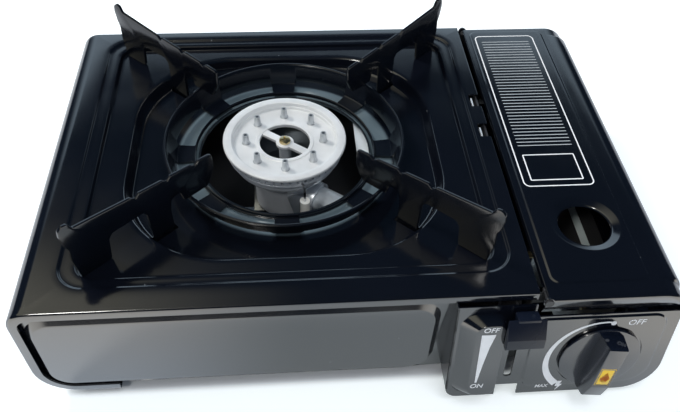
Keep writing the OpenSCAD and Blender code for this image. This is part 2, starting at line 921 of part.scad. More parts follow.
module knob() color(plastic) {
    y1 = grip_shift - grip_l / 2;
    y2 = grip_shift + grip_l / 2;
    low = knob_lift + 1;
    wide = grip_w / 2 + grip_flare;
    knob_axis() difference() {
        union() {
            translate([0, 0, knob_lift]) cylinder(skirt_t, knob_r, knob_r);
            // The grip, seen from its side and from its end
            rotate([0, 0, grip_tilt]) intersection() {
                translate([-knob_r, 0, 0]) rotate([90, 0, 90]) linear_extrude(2 * knob_r) polygon([
                    [y1, low], [y1, knob_h - 3], [y1 + grip_slope, knob_h],
                    [y2 - 0.5, knob_h], [y2, knob_h - 1], [y2, low]]);
                translate([0, knob_r, 0]) rotate([90, 0, 0]) linear_extrude(2 * knob_r) polygon([
                    [-wide, low], [-grip_w / 2, knob_h], [grip_w / 2, knob_h], [wide, low]]);
            }
        }
        translate([0, 0, -1]) cylinder(bore_end + 1, spindle_r + snug, spindle_r + snug);
        rotate([0, 0, grip_tilt]) translate([-insert_w / 2 - snug, insert_y - snug, knob_h - 0.6])
            cube([insert_w + 2 * snug, insert_l + 2 * snug, 2]);
    }
}

module knob_insert() color(yellow) {
    knob_axis() rotate([0, 0, grip_tilt]) translate([-insert_w / 2, insert_y, knob_h - 0.58])
        cube([insert_w, insert_l, 0.58]);
}

module valve_spindle() color(brass) {
    knob_rod(-20, bore_end - touch, spindle_r);
}

module valve_gland() color(brass) {
    difference() {
        union() {
            knob_rod(-22, -12, gland_r);
            knob_rod(-12, -8, gland_r + 2);
        }
        knob_rod(-30, 0, spindle_r + run_gap);
    }
}

// Casting with the valve seat, the inlet and the outlet
module regulator_body() color(alloy) {
    difference() {
        union() {
            rod_y(can_x, can_z, regulator_y1, regulator_y2, regulator_r);
            rod_y(can_x, can_z, regulator_y2 - 1, regulator_y2 + 8, inlet_r);
            knob_rod(-32, -12 - touch, gland_r + 2);
            rod([outlet_x, pipe_y, can_z + 10], [outlet_x, pipe_y, pipe_z - 3], 4);
        }
        knob_rod(-22, 0, gland_r + snug);
        rod_y(can_x, cap_z, regulator_y1 - 1, regulator_y1 + 5, cap_r - 4);
        rod_y(can_x, can_z, regulator_y1 + 3, regulator_y2 + 9, 2.5);
        rod_y(can_x, can_z, regulator_y2 + 5, regulator_y2 + 9, 5.5 + snug);
        rod([outlet_x, pipe_y, can_z], [outlet_x, pipe_y, pipe_z], pipe_r + snug);
        at_cap_screws() translate([0, 0, -6]) cylinder(8, 1 + snug, 1 + snug);
        at_bracket_screws() translate([0, 0, -1]) cylinder(8, screw_r + snug, screw_r + snug);
    }
}

diaphragm_t = 0.8;
cap_d = 8;

// Screws of the cap, pointing out of the cap's front
module at_cap_screws() {
    for (i = [0:3]) {
        translate([can_x, regulator_y1, cap_z]) rotate([90, 45 + 90 * i, 0])
            translate([cap_r - 2, 0, 0]) children();
    }
}

module diaphragm() color(rubber) {
    difference() {
        rod_y(can_x, cap_z, regulator_y1 - diaphragm_t, regulator_y1, cap_r);
        at_cap_screws() translate([0, 0, -2]) cylinder(8, 1 + snug, 1 + snug);
    }
}

module regulator_cap() color(alloy) {
    y2 = regulator_y1 - diaphragm_t;
    difference() {
        rod_y(can_x, cap_z, y2 - cap_d, y2, cap_r);
        rod_y(can_x, cap_z, y2 - cap_d + 1.5, y2 + 1, cap_r - 4);
        rod_y(can_x, cap_z, y2 - cap_d - 1, y2, 0.8);
        at_cap_screws() translate([0, 0, -2]) cylinder(20, 1 + snug, 1 + snug);
    }
}

spring_turns = 4;
spring_r = 4.5;
spring_wire = 0.5;

// Coils between the cap and the diaphragm, joined along one side
module diaphragm_spring() color(zinc) {
    y1 = regulator_y1 - diaphragm_t - cap_d + 1.5;
    y2 = regulator_y1 - diaphragm_t;
    pitch = (y2 - y1 - 2 * spring_wire - 2 * snug) / spring_turns;
    for (i = [0:spring_turns]) {
        translate([can_x, y1 + snug + spring_wire + i * pitch, cap_z]) rotate([90, 0, 0])
            rotate_extrude() translate([spring_r, 0]) circle(spring_wire, $fn = 24);
    }
    rod_y(can_x, cap_z - spring_r, y1 + snug + spring_wire, y2 - snug - spring_wire, spring_wire * 0.9);
}

module regulator_screws() color(zinc) {
    at_cap_screws() {
        translate([0, 0, -5]) cylinder(5 + diaphragm_t + cap_d, 1, 1);
        translate([0, 0, diaphragm_t + cap_d]) cylinder(1.2, 1.8, 1.8);
    }
}

// Screws that hold the bracket to the back of the regulator
module at_bracket_screws() {
    for (x = [-13, 13]) {
        translate([can_x + x, bracket_y, can_z]) rotate([90, 0, 0]) children();
    }
}

module bracket_screws() color(zinc) {
    at_bracket_screws() {
        translate([0, 0, -1.2 - 1.5]) cylinder(1.5, screw_head_r, screw_head_r);
        translate([0, 0, -1.2]) cylinder(6, screw_r, screw_r);
    }
}

bracket_t = 1.2;
bracket_wing = 11;

module regulator_bracket() color(zinc) {
    x1 = can_x - regulator_r - bracket_wing;
    difference() {
        union() {
            block(x1, igniter_x2 + 1, bracket_y, bracket_y + bracket_t, tray_z, can_z + regulator_r + 4);
            block(x1, x1 + 14, bracket_y, bracket_y + 7, tray_z, tray_z + bracket_t);
        }
        rod_y(can_x, can_z, bracket_y - 1, bracket_y + 3, inlet_r + snug);
        block(can_x - strip_w / 2 - 1, can_x + strip_w / 2 + 1, -far, far, 0, strip_z + strip_t + 1);
        block(right - cover_low_r - 2, right, -far, far, 0, tray_z + 12);
        rod_y((igniter_x1 + igniter_x2) / 2, igniter_z, bracket_y - 1, bracket_y + 3, lead_r + 0.3);
        at_bracket_screws() translate([0, 0, -5]) cylinder(10, screw_r + snug, screw_r + snug);
    }
}

module inlet_seal() color(rubber) {
    difference() {
        rod_y(can_x, can_z, regulator_y2 + 5 + snug, regulator_y2 + 8, 5.5);
        rod_y(can_x, can_z, regulator_y2, regulator_y2 + 9, 2.5);
    }
}

// ---- Ignition ----

igniter_z = 36;
igniter_h = 12;
igniter_in = 12;

module igniter() color(plastic) {
    block(igniter_x1, igniter_x2, front + igniter_in, bracket_y,
        igniter_z - igniter_h / 2, igniter_z + igniter_h / 2);
}

module ignition_lead() color(satin_black) {
    x = (igniter_x1 + igniter_x2) / 2;
    y = bracket_y + 5;
    low = tray_z + 3.6;
    wire([[x, bracket_y, igniter_z], [x, y, igniter_z], [x, y, low], [electrode_x, y, low],
        [electrode_x, electrode_y, low], [electrode_x, electrode_y, electrode_z - 12]], lead_r);
}

electrode_z = 51.5;

module electrode_insulator() color(ceramic) {
    translate([electrode_x, electrode_y, electrode_z - 12]) difference() {
        union() {
            cylinder(30, 3, 3);
            translate([0, 0, 12 + bracket_t]) cylinder(2, 4.2, 4.2);
        }
        translate([0, 0, 0.01]) cylinder(31, 0.8 + snug, 0.8 + snug);
    }
}

module electrode_wire() color(zinc) {
    x2 = bx + (head_r - 0.6) * cos(electrode_a);
    y2 = by + (head_r - 0.6) * sin(electrode_a);
    tip = cup_top + 2.5;
    low = electrode_z - 11.5;
    translate([electrode_x, electrode_y, low]) cylinder(tip + 1 - low, 0.8, 0.8);
    rod([electrode_x, electrode_y, tip], [x2, y2, tip], 0.7);
}

module electrode_bracket() color(zinc) {
    difference() {
        translate([bx, by, 0]) rotate([0, 0, electrode_a])
            block(20 + snug, electrode_turn + 5, -5, 5, electrode_z, electrode_z + bracket_t);
        translate([electrode_x, electrode_y, 0]) cylinder(far, 3 + snug, 3 + snug);
        translate([bx, by, 0]) cylinder(far, 20 + snug, 20 + snug);
    }
}

// ---- Gas way and burner ----

// Frame of the mixing tube: Z runs from the burner to the injector
module tube_axis() {
    translate([bx, by, tube_z]) rotate([0, 0, tube_angle]) rotate([0, 90, 0]) children();
}

module gas_pipe() color(brass) {
    end = tube_len + injector_len;
    wire([[outlet_x, pipe_y, can_z + outlet_in], [outlet_x, pipe_y, pipe_z], [pipe_x, pipe_y, pipe_z],
        [pipe_x, pipe_y, tube_z],
        [bx + end * cos(tube_angle), by + end * sin(tube_angle), tube_z]], pipe_r);
}

module injector() color(brass) {
    tube_axis() translate([0, 0, tube_len]) rotate_extrude() polygon([
        [0.4, 0], [2.5, 0], [4, 3], [4, injector_len], [0.4, injector_len]]);
}

module mixing_tube() color(alloy) {
    end = tube_len - 3;
    inner = tube_r - 1.2;
    tube_axis() rotate_extrude() polygon([
        [inner, 21.5], [inner, end - 14], [inner + 4, end], [tube_r + 4, end],
        [tube_r, end - 14], [tube_r, 21.5]]);
}

chamber_r = 20;
wall_t = 1.5;

// Cast cup under the burner head, with the mixing chamber below it
module burner_base() color(alloy) {
    neck = tube_z + tube_r + 3.5;
    difference() {
        union() {
            translate([bx, by, 0]) rotate_extrude() polygon([
                [0, cup_low], [chamber_r, cup_low], [chamber_r, neck], [cup_r, neck + 15],
                [cup_r, cup_top - 1.5], [head_r - 2, cup_top - 1.5], [head_r - 2, cup_top],
                [cup_r - wall_t, cup_top], [cup_r - wall_t, neck + 15.6],
                [chamber_r - wall_t, neck + 0.6], [chamber_r - wall_t, cup_low + wall_t],
                [0, cup_low + wall_t]]);
            translate([bx, by, cup_low]) cylinder(head_z - head_dish - 2 - touch - cup_low, 3.8, 3.8);
            tube_axis() translate([0, 0, chamber_r - 3]) cylinder(9, tube_r + 2, tube_r + 2);
        }
        tube_axis() translate([0, 0, chamber_r - 5]) cylinder(12, tube_r - 1.2, tube_r - 1.2);
        tube_axis() translate([0, 0, 21.5]) cylinder(12, tube_r + snug, tube_r + snug);
        translate([bx, by, head_z - 18]) cylinder(20, 1.8 + snug, 1.8 + snug);
    }
}

module port_ring() color(alloy) {
    r = head_r - 2;
    translate([bx, by, 0]) difference() {
        translate([0, 0, cup_top]) cylinder(head_z - 2 - cup_top, r, r);
        translate([0, 0, cup_top - 1]) cylinder(10, r - 2.6, r - 2.6);
        for (i = [0:port_n - 1]) {
            rotate([0, 0, (i + 0.5) * 360 / port_n])
                block(r - 5, r + 1, -0.7, 0.7, cup_top + 1, head_z - 3);
        }
    }
}

head_floor = head_z - head_dish;
hub_r = 5.5;
bar_angle = -37;

module burner_head() color(alloy) {
    translate([bx, by, 0]) difference() {
        union() {
            rotate_extrude() polygon([
                [head_hole, head_floor - 2], [head_hole, head_floor],
                [head_r - head_rim - 1, head_floor], [head_r - head_rim, head_z],
                [head_r, head_z], [head_r, head_z - 2], [head_r - 4.8, head_z - 2],
                [head_r - 5.4, head_floor - 2]]);
            rotate([0, 0, bar_angle])
                block(-head_hole - 1, head_hole + 1, -2.5, 2.5, head_floor - 2, head_floor);
            translate([0, 0, head_floor - 2]) cylinder(2, hub_r, hub_r);
            for (i = [0:post_n - 1]) {
                rotate([0, 0, i * 360 / post_n]) translate([post_circle, 0, head_floor - 1])
                    cylinder(post_h + 1, post_r + 0.5, post_r - 0.3);
            }
        }
        for (i = [0:post_n - 1]) {
            rotate([0, 0, i * 360 / post_n]) translate([post_circle, 0, head_floor - 5])
                cylinder(post_h + 10, 0.8, 0.8);
        }
        translate([0, 0, head_floor - 5]) cylinder(10, 1.8 + snug, 1.8 + snug);
    }
}

module burner_screw() color(brass) {
    translate([bx, by, 0]) {
        translate([0, 0, head_z - 17]) cylinder(17 - head_dish, 1.8, 1.8);
        difference() {
            translate([0, 0, head_floor]) cylinder(2.2, 3.5, 3.5);
            for (a = [8, 98]) {
                rotate([0, 0, a]) block(-2.4, 2.4, -0.5, 0.5, head_floor + 1.2, head_z);
            }
        }
    }
}

module burner_bracket() color(zinc) {
    for (i = [-1, 1]) {
        block(bx + i * 21 - 0.6, bx + i * 21 + 0.6, by - 12, by + 12, tray_z, cup_low - bracket_t);
        block(bx + i * 26 - 5.6, bx + i * 26 + 5.6, by - 12, by + 12, tray_z, tray_z + bracket_t);
    }
    block(bx - 21.6, bx + 21.6, by - 12, by + 12, cup_low - bracket_t, cup_low);
}

// ---- Heat plate ----

heat_z = top_z - 15.5;
heat_y1 = notch_ys[0] - 3;
heat_y2 = notch_ys[1] + 3;
heat_x = wall_x + 1.5;
heat_rivet_ys = [heat_y1 + 8, heat_y2 - 8];
heat_rivet_z = 48;
rivet_r = 1.6;

// Carries warmth from the burner to the cartridge
module heat_plate() color(zinc) {
    difference() {
        union() {
            block(bx + well_r - 7, heat_x + sheet, heat_y1, heat_y2, heat_z, heat_z + sheet);
            block(heat_x, heat_x + sheet, heat_y1, heat_y2, tray_z + 5, heat_z + sheet);
            block(heat_x, heat_x + 13, heat_y1, heat_y2, tray_z + 5, tray_z + 5 + sheet);
            for (y = notch_ys) {
                block(wall_x - 4.5, wall_x - 3.5, y - 4, y + 4, heat_z, top_z - 1.5);
            }
        }
        for (y = heat_rivet_ys) {
            rod_x(wall_x, heat_x + 3, y, heat_rivet_z, rivet_r + snug);
        }
    }
}

module heat_plate_rivets() color(alloy) {
    for (y = heat_rivet_ys) {
        rod_x(wall_x - sheet - 1, heat_x + sheet + 1, y, heat_rivet_z, rivet_r);
        rod_x(wall_x - sheet - 1, wall_x - sheet, y, heat_rivet_z, 2.6);
        rod_x(wall_x, heat_x, y, heat_rivet_z, 2.6);
        rod_x(heat_x + sheet, heat_x + sheet + 1, y, heat_rivet_z, 2.6);
    }
}

// ---- Pan support ----

ring_t = 1.2;

module pan_ring() color(gloss_black) {
    translate([bx, by, top_z]) difference() {
        rotate_extrude() polygon([
            [collar_r, -ring_low - ring_t], [ring_r - 6, -ring_low - ring_t],
            [ring_r, ring_top - ring_t], [ring_r, ring_top], [ring_r - 1.6, ring_top],
            [ring_r - 6.6, -ring_low], [collar_r + ring_t, -ring_low],
            [collar_r + ring_t, -ring_low + 1.5], [collar_r, -ring_low + 1.5]]);
        for (i = [0:ring_slots - 1]) {
            rotate([0, 0, (i + 0.5) * 360 / ring_slots - slot_span / 2]) rotate_extrude(angle = slot_span)
                translate([collar_r + 3, -20]) square([8.5, 20]);
        }
    }
}

// One arm in side view: X is the distance from the burner's axis, Y the height over the top sheet
module arm_side() {
    foot_z = -step_drop + seat_gap;
    bead_z = ring_top + touch;
    difference() {
        polygon([
            [collar_r, arm_h - 11.5], [arm_r - 40, arm_h - 8], [arm_r - 8, arm_h - 4.5],
            [arm_r - 6, arm_h - 0.5], [arm_r - 3, arm_h], [arm_r - 0.5, arm_h - 2],
            [arm_r, arm_h - 6], [arm_r - 1, arm_h - 13], [arm_r - 2.5, arm_h - 17],
            [arm_r - 2, 10], [arm_r - 4, foot_z], [arm_r - 22, foot_z],
            [arm_r - 23.5, 10], [arm_r - 26, 13], [leg_r + leg_w + 3, 13], [leg_r + leg_w + 1, 10],
            [leg_r + leg_w, -dish_drop - 1], [leg_r + leg_w - 2, -dish_drop - 4],
            [leg_r + 2, -dish_drop - 4], [leg_r, -dish_drop - 1], [leg_r, 3], [leg_r - 1.5, 11],
            [ring_r + 5, 11], [ring_r + 3, bead_z], [collar_r + 5.5, bead_z],
            [collar_r + 3, bead_z + 4], [collar_r, 14]]);
        // Notches that keep a small pot from sliding
        for (r = [leg_r - 19.5, leg_r - 1, leg_r + 18.5]) {
            translate([r, arm_h - 8.6]) rotate([0, 0, 45]) square([4, 4], center = true);
        }
    }
}

module arm(angle) {
    translate([bx, by, top_z]) rotate([90, 0, angle]) translate([0, 0, -arm_t / 2])
        linear_extrude(arm_t) arm_side();
}

module arm_front_left() color(gloss_black) {
    arm(180 + arm_angle);
}

module arm_front_right() color(gloss_black) {
    arm(-arm_angle);
}

module arm_back_left() color(gloss_black) {
    arm(180 - arm_angle);
}

module arm_back_right() color(gloss_black) {
    arm(arm_angle);
}

top_cover();
side_casing();
bottom_tray();
front_panel();
control_panel();
back_panel();
partition();
rubber_feet();
tray_screws();
panel_screws();
lid();
hinge_pins();
cartridge_cradle();
guide_rail();
push_strip();
lever_plate();
lever_knob();
lever_guide();
regulator_body();
diaphragm();
diaphragm_spring();
regulator_cap();
regulator_screws();
regulator_bracket();
bracket_screws();
inlet_seal();
valve_gland();
valve_spindle();
knob();
knob_insert();
igniter();
ignition_lead();
electrode_insulator();
electrode_wire();
electrode_bracket();
gas_pipe();
injector();
mixing_tube();
burner_base();
port_ring();
burner_head();
burner_screw();
burner_bracket();
heat_plate();
heat_plate_rivets();
pan_ring();
arm_front_left();
arm_front_right();
arm_back_left();
arm_back_right();
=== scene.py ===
import json, math
import bpy, bmesh
from mathutils import Vector, Matrix

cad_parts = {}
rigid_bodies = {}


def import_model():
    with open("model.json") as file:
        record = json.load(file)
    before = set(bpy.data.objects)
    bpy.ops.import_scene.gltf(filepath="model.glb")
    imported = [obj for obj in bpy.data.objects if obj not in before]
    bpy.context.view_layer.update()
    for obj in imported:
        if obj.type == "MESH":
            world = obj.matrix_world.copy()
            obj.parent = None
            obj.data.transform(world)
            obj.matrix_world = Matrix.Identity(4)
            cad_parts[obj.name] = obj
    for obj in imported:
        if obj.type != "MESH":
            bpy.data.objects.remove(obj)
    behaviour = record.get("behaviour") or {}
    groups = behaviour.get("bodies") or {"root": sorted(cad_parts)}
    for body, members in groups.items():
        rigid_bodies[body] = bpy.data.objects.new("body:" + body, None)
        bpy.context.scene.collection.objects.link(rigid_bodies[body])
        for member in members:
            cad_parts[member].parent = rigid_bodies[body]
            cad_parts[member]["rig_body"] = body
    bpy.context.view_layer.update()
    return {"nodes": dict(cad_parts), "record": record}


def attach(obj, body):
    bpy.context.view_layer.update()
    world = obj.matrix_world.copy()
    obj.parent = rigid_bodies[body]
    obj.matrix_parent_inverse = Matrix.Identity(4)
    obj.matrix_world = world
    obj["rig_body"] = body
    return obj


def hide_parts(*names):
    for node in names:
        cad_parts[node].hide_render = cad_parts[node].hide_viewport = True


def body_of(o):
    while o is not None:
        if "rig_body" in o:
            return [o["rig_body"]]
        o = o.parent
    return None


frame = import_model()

scene = bpy.context.scene
nodeOf = frame["nodes"]

# sizes of the stove in millimetres, in the frame of the construction
stove = {
    "left": -175.0, "right": 175.0, "front": -106.376, "back": 131.624, "top": 82.0,
    "foot": 5.5, "lean": 10.0, "sheet": 1.0, "coverRight": 94.0,
    "burnerX": -34.0, "burnerY": 15.124, "armAngle": 42.02, "tubeAngle": -36.87, "tubeHeight": 44.0,
    "rimWidth": 5.5, "lowCorner": 22.0, "returnWidth": 44.0, "foldRadius": 2.0,
}
near, far = stove["front"], stove["back"]
armAngles = {"arm_back_right": stove["armAngle"], "arm_back_left": 180 - stove["armAngle"],
             "arm_front_left": 180 + stove["armAngle"], "arm_front_right": -stove["armAngle"]}
leanCos = math.cos(math.radians(stove["lean"]))
leanSin = math.sin(math.radians(stove["lean"]))


def frontAt(z, depth=0.0):
    # y of the leaning front at a height, some way behind its face
    s = (z - stove["top"] + depth * leanSin) / leanCos
    return near + depth * leanCos + s * leanSin


def onFace(x, s, depth):
    # a point of the leaning front: s runs up the face, depth into the casing
    return x, near + depth * leanCos + s * leanSin, stove["top"] - depth * leanSin + s * leanCos


def frontMatrix(x, s):
    # local x across the control panel, y up it and z out of it
    matrix = Matrix(((1, 0, 0), (0, leanSin, -leanCos), (0, leanCos, leanSin))).to_4x4()
    return Matrix.Translation(Vector(onFace(x, s, 0)) / 1000) @ matrix


def turnBy(angle, axis="Z"):
    return Matrix.Rotation(math.radians(angle), 4, axis)


def between(a, b, t):
    return tuple(p + (q - p) * t for p, q in zip(a, b))


def spread(a, b, n):
    return [a + (b - a) * i / n for i in range(n + 1)]


def camel(words):
    first, *rest = words.split("_")
    return first + "".join(w.capitalize() for w in rest)


def link(name, mesh):
    piece = bpy.data.objects.new(name, mesh)
    scene.collection.objects.link(piece)
    return piece


def shade(mesh, angle=35):
    mesh.shade_smooth()
    mesh.set_sharp_from_angle(angle=math.radians(angle))


def paint(piece, *finishes):
    for finish in finishes:
        piece.data.materials.append(finish)
    return piece


def meshPiece(name, points, faces, outward=None, angle=35):
    mesh = bpy.data.meshes.new(name)
    mesh.from_pydata([(x / 1000, y / 1000, z / 1000) for x, y, z in points], [], faces)
    shape = bmesh.new()
    shape.from_mesh(mesh)
    bmesh.ops.remove_doubles(shape, verts=shape.verts, dist=2e-6)
    bmesh.ops.dissolve_degenerate(shape, dist=1e-6, edges=shape.edges)
    bmesh.ops.recalc_face_normals(shape, faces=shape.faces)
    if outward:
        # an open sheet faces the way it is told to
        way = Vector(outward)
        last = max(shape.faces, key=lambda f: f.calc_center_median().dot(way) + 1e-3 * f.normal.dot(way) ** 2)
        if last.normal.dot(way) < 0:
            bmesh.ops.reverse_faces(shape, faces=shape.faces)
    shape.to_mesh(mesh)
    shape.free()
    shade(mesh, angle)
    return link(name, mesh)


def addStrip(points, faces, rows, closed=False):
    base, n = len(points), len(rows[0])
    for row in rows:
        points.extend(row)
    for i in range(len(rows) - 1):
        for j in range(n if closed else n - 1):
            k = (j + 1) % n
            faces.append((base + i * n + j, base + i * n + k,
                          base + (i + 1) * n + k, base + (i + 1) * n + j))
    return base


def addTray(points, faces, loops):
    # closed loops, each inside the one before, and the last one filled
    base, n = addStrip(points, faces, loops, closed=True), len(loops[-1])
    faces.append([base + (len(loops) - 1) * n + i for i in range(n)])


def bake(piece, angle=35):
    # turns the modifiers into plain mesh
    graph = bpy.context.evaluated_depsgraph_get()
    mesh = bpy.data.meshes.new_from_object(piece.evaluated_get(graph))
    old, name = piece.data, piece.name
    piece.modifiers.clear()
    if piece.type == "MESH":
        piece.data = mesh
        bpy.data.meshes.remove(old)
    else:
        bpy.data.objects.remove(piece)
        piece = link(name, mesh)
    mesh.name = name
    shade(mesh, angle)
    return piece


def thicken(piece, thickness=0.98 * stove["sheet"]):
    # an open surface is given the thickness of its sheet, inwards
    solid = piece.modifiers.new("sheet", "SOLIDIFY")
    solid.thickness = thickness / 1000
    solid.offset = -1
    piece = bake(piece)
    shape = bmesh.new()
    shape.from_mesh(piece.data)
    bmesh.ops.recalc_face_normals(shape, faces=shape.faces)
    shape.to_mesh(piece.data)
    shape.free()
    return piece


def sheetPiece(name, points, faces, outward, thickness=0.98 * stove["sheet"]):
    return thicken(meshPiece(name, points, faces, outward), thickness)


def bevelled(piece, width, segments=3, angle=30):
    edge = piece.modifiers.new("edges", "BEVEL")
    edge.width = width / 1000
    edge.segments = segments
    edge.limit_method = "ANGLE"
    edge.angle_limit = math.radians(angle)
    edge.use_clamp_overlap = True
    return bake(piece)


def cut(piece, tool):
    knife = piece.modifiers.new("cut", "BOOLEAN")
    knife.operation = "DIFFERENCE"
    knife.solver = "EXACT"
    knife.object = tool
    piece = bake(piece)
    bpy.data.objects.remove(tool)
    return piece


def joined(name, parts):
    # one mesh out of several, with their materials
    shape = bmesh.new()
    materials = []
    for part in parts:
        start = len(shape.faces)
        shape.from_mesh(part.data)
        slots = [s.material for s in part.material_slots] or [None]
        shape.faces.ensure_lookup_table()
        for face in shape.faces[start:]:
            finish = slots[min(face.material_index, len(slots) - 1)]
            if finish not in materials:
                materials.append(finish)
            face.material_index = materials.index(finish)
    mesh = bpy.data.meshes.new(name)
    shape.to_mesh(mesh)
    shape.free()
    for part in parts:
        bpy.data.objects.remove(part)
    shade(mesh)
    return paint(link(name, mesh), *filter(None, materials))


def moved(piece, x=0, y=0, z=0, turn=None):
    matrix = Matrix.Translation((x / 1000, y / 1000, z / 1000))
    piece.data.transform(matrix @ turn if turn else matrix)
    return piece


def toBurner(piece, z=0, turn=None):
    return moved(piece, stove["burnerX"], stove["burnerY"], z, turn)


def boxPiece(name, x1, x2, y1, y2, z1, z2):
    points = [(x, y, z) for z in (z1, z2) for y in (y1, y2) for x in (x1, x2)]
    faces = [(0, 1, 3, 2), (4, 5, 7, 6), (0, 1, 5, 4), (2, 3, 7, 6), (0, 2, 6, 4), (1, 3, 7, 5)]
    return meshPiece(name, points, faces)


def turned(name, profile, count=96):
    # a lathe shape about Z; the profile is a closed outline of (radius, height)
    rows = []
    for i in range(count):
        a = 2 * math.pi * i / count
        rows.append([(r * math.cos(a), r * math.sin(a), z) for r, z in profile])
    points, faces = [], []
    addStrip(points, faces, rows + rows[:1], closed=True)
    return meshPiece(name, points, faces)


def drum(name, radius, low, high, count=32):
    return turned(name, [(0.001, low), (radius, low), (radius, high), (0.001, high)], count)


def rounded(path, radii, steps=5):
    # a path with its corners rounded; one radius, or one for each inner point
    done = [path[0]]
    for i in range(1, len(path) - 1):
        p, q, s = Vector(path[i - 1]), Vector(path[i]), Vector(path[i + 1])
        r = radii[i - 1] if isinstance(radii, (list, tuple)) else radii
        a, b = (p - q), (s - q)
        half = a.angle(b) / 2
        reach = min(r / math.tan(half), a.length * 0.49, b.length * 0.49) if half > 0.01 else 0
        r = reach * math.tan(half)
        if r < 1e-4:
            done.append(tuple(q))
            continue
        a.normalize()
        b.normalize()
        middle = q + (a + b).normalized() * (r / math.sin(half))
        u, v = (q + a * reach) - middle, (q + b * reach) - middle
        turn = u.angle(v)
        for j in range(steps + 1):
            t = j / steps
            w = (u * math.sin((1 - t) * turn) + v * math.sin(t * turn)) / math.sin(turn)
            done.append(tuple(middle + w))
    return done + [path[-1]]


def loopOf(path, radii, steps=5):
    # a closed outline with rounded corners
    middle = tuple((Vector(path[0]) + Vector(path[-1])) / 2)
    return rounded([middle] + list(path) + [middle], radii, steps)[1:]


def ribbon(path, thickness):
    # a path thickened to a closed outline with round ends
    left, other = [], []
    for i, p in enumerate(path):
        way = (Vector(path[min(i + 1, len(path) - 1)]) - Vector(path[max(i - 1, 0)])).normalized()
        side = Vector((-way.y, way.x)) * thickness / 2
        left.append(tuple(Vector(p) + side))
        other.append(tuple(Vector(p) - side))

    def cap(p, q):
        middle, arm = (Vector(p) + Vector(q)) / 2, (Vector(p) - Vector(q)) / 2
        return [tuple(middle + Matrix.Rotation(-t * math.pi / 4, 2) @ arm) for t in range(1, 4)]
    return left + cap(left[-1], other[-1]) + other[::-1] + cap(other[0], left[0])


arcSteps, sideSteps = 16, 10  # points on a corner and along a side of a loop


def inset(box, t):
    return box[0] + t, box[1] - t, box[2] + t, box[3] - t


def cornerLoop(x1, x2, y1, y2, radii):
    # anticlockwise from the near left corner, with a radius for each corner
    r = [max(v, 0.01) for v in (radii if isinstance(radii, (list, tuple)) else [radii] * 4)]
    middles = [(x1 + r[0], y1 + r[0]), (x2 - r[1], y1 + r[1]), (x2 - r[2], y2 - r[2]), (x1 + r[3], y2 - r[3])]

    def onCorner(i, angle):
        a = math.radians((180, 270, 0, 90)[i] + angle)
        return middles[i][0] + r[i] * math.cos(a), middles[i][1] + r[i] * math.sin(a)
    points = []
    for i in range(4):
        points += [onCorner(i, 90 * j / arcSteps) for j in range(arcSteps + 1)]
        start, end = points[-1], onCorner((i + 1) % 4, 0)
        points += [between(start, end, j / sideSteps) for j in range(1, sideSteps)]
    return points


def frameLoop(x1, x2, y1, y2, inner):
    # a rectangle whose points match a corner loop inside it
    corners = [(x1, y1), (x2, y1), (x2, y2), (x1, y2)]
    step, half = arcSteps + sideSteps, arcSteps // 2
    points = []
    for i, corner in enumerate(corners):
        first, last = inner[i * step], inner[i * step + arcSteps]
        along = [(x1, first[1]), (first[0], y1), (x2, first[1]), (first[0], y2)][i]
        leave = [(last[0], y1), (x2, last[1]), (last[0], y2), (x1, last[1])][i]
        points += [between(along, corner, j / half) for j in range(half)]
        points += [between(corner, leave, j / half) for j in range(half + 1)]
        for x, y in inner[i * step + arcSteps + 1:(i + 1) * step]:
            points.append([(x, y1), (x2, y), (x, y2), (x1, y)][i])
    return points


def sideOf(loop, i):
    # the points of one side of a frame loop, corner to corner: 0 near, 1 right, 2 far, 3 left
    step = arcSteps + sideSteps
    a, b = i * step + arcSteps // 2, (i + 1) * step + arcSteps // 2
    return [loop[k % len(loop)] for k in range(a, b + 1)]


def atHeight(loop, z):
    return [(x, y, z) for x, y in loop]


def prism(name, outline, low, high, place=lambda x, y, z: (x, y, z)):
    # an outline extruded between two levels, put in place by a function
    n = len(outline)
    points = [place(x, y, z) for z in (low, high) for x, y in outline]
    faces = [tuple(range(n)), tuple(range(n, 2 * n))]
    faces += [(i, (i + 1) % n, n + (i + 1) % n, n + i) for i in range(n)]
    return meshPiece(name, points, faces)


def band(name, outer, inner, low, high):
    # the strip between two outlines of the same length, as a thin solid
    points, faces = [], []
    addStrip(points, faces, [atHeight(loop, z) for loop, z in (
        (outer, low), (outer, high), (inner, high), (inner, low), (outer, low))], closed=True)
    return meshPiece(name, points, faces)


# finishes, in nodes that are wired by the names of their sockets

def plug(tree, node, inputs):
    for key, value in inputs.items():
        if isinstance(value, bpy.types.NodeSocket):
            tree.links.new(value, node.inputs[key])
        else:
            node.inputs[key].default_value = value
    return node


def nodeIn(tree, kind, inputs={}, **settings):
    node = tree.nodes.new(kind)
    for key, value in settings.items():
        setattr(node, key, value)
    return plug(tree, node, inputs)


def newFinish(name):
    finish = bpy.data.materials.new(name)
    finish.use_nodes = True
    tree = finish.node_tree
    place = nodeIn(tree, "ShaderNodeTexCoord").outputs["Object"]
    return finish, tree, tree.nodes["Principled BSDF"], place


def noiseIn(tree, place, scale, detail=2.0):
    inputs = {"Vector": place, "Scale": scale, "Detail": detail}
    return nodeIn(tree, "ShaderNodeTexNoise", inputs).outputs["Fac"]


def rangeIn(tree, value, low, high, start=0.3, end=0.7, kind="LINEAR"):
    inputs = {"Value": value, "From Min": start, "From Max": end, "To Min": low, "To Max": high}
    return nodeIn(tree, "ShaderNodeMapRange", inputs, interpolation_type=kind).outputs["Result"]


def bandIn(tree, value, start, end):
    # a smooth step from 0 to 1, which falls where the end lies below the start
    low, high = (0, 1) if start < end else (1, 0)
    return rangeIn(tree, value, low, high, min(start, end), max(start, end), "SMOOTHSTEP")


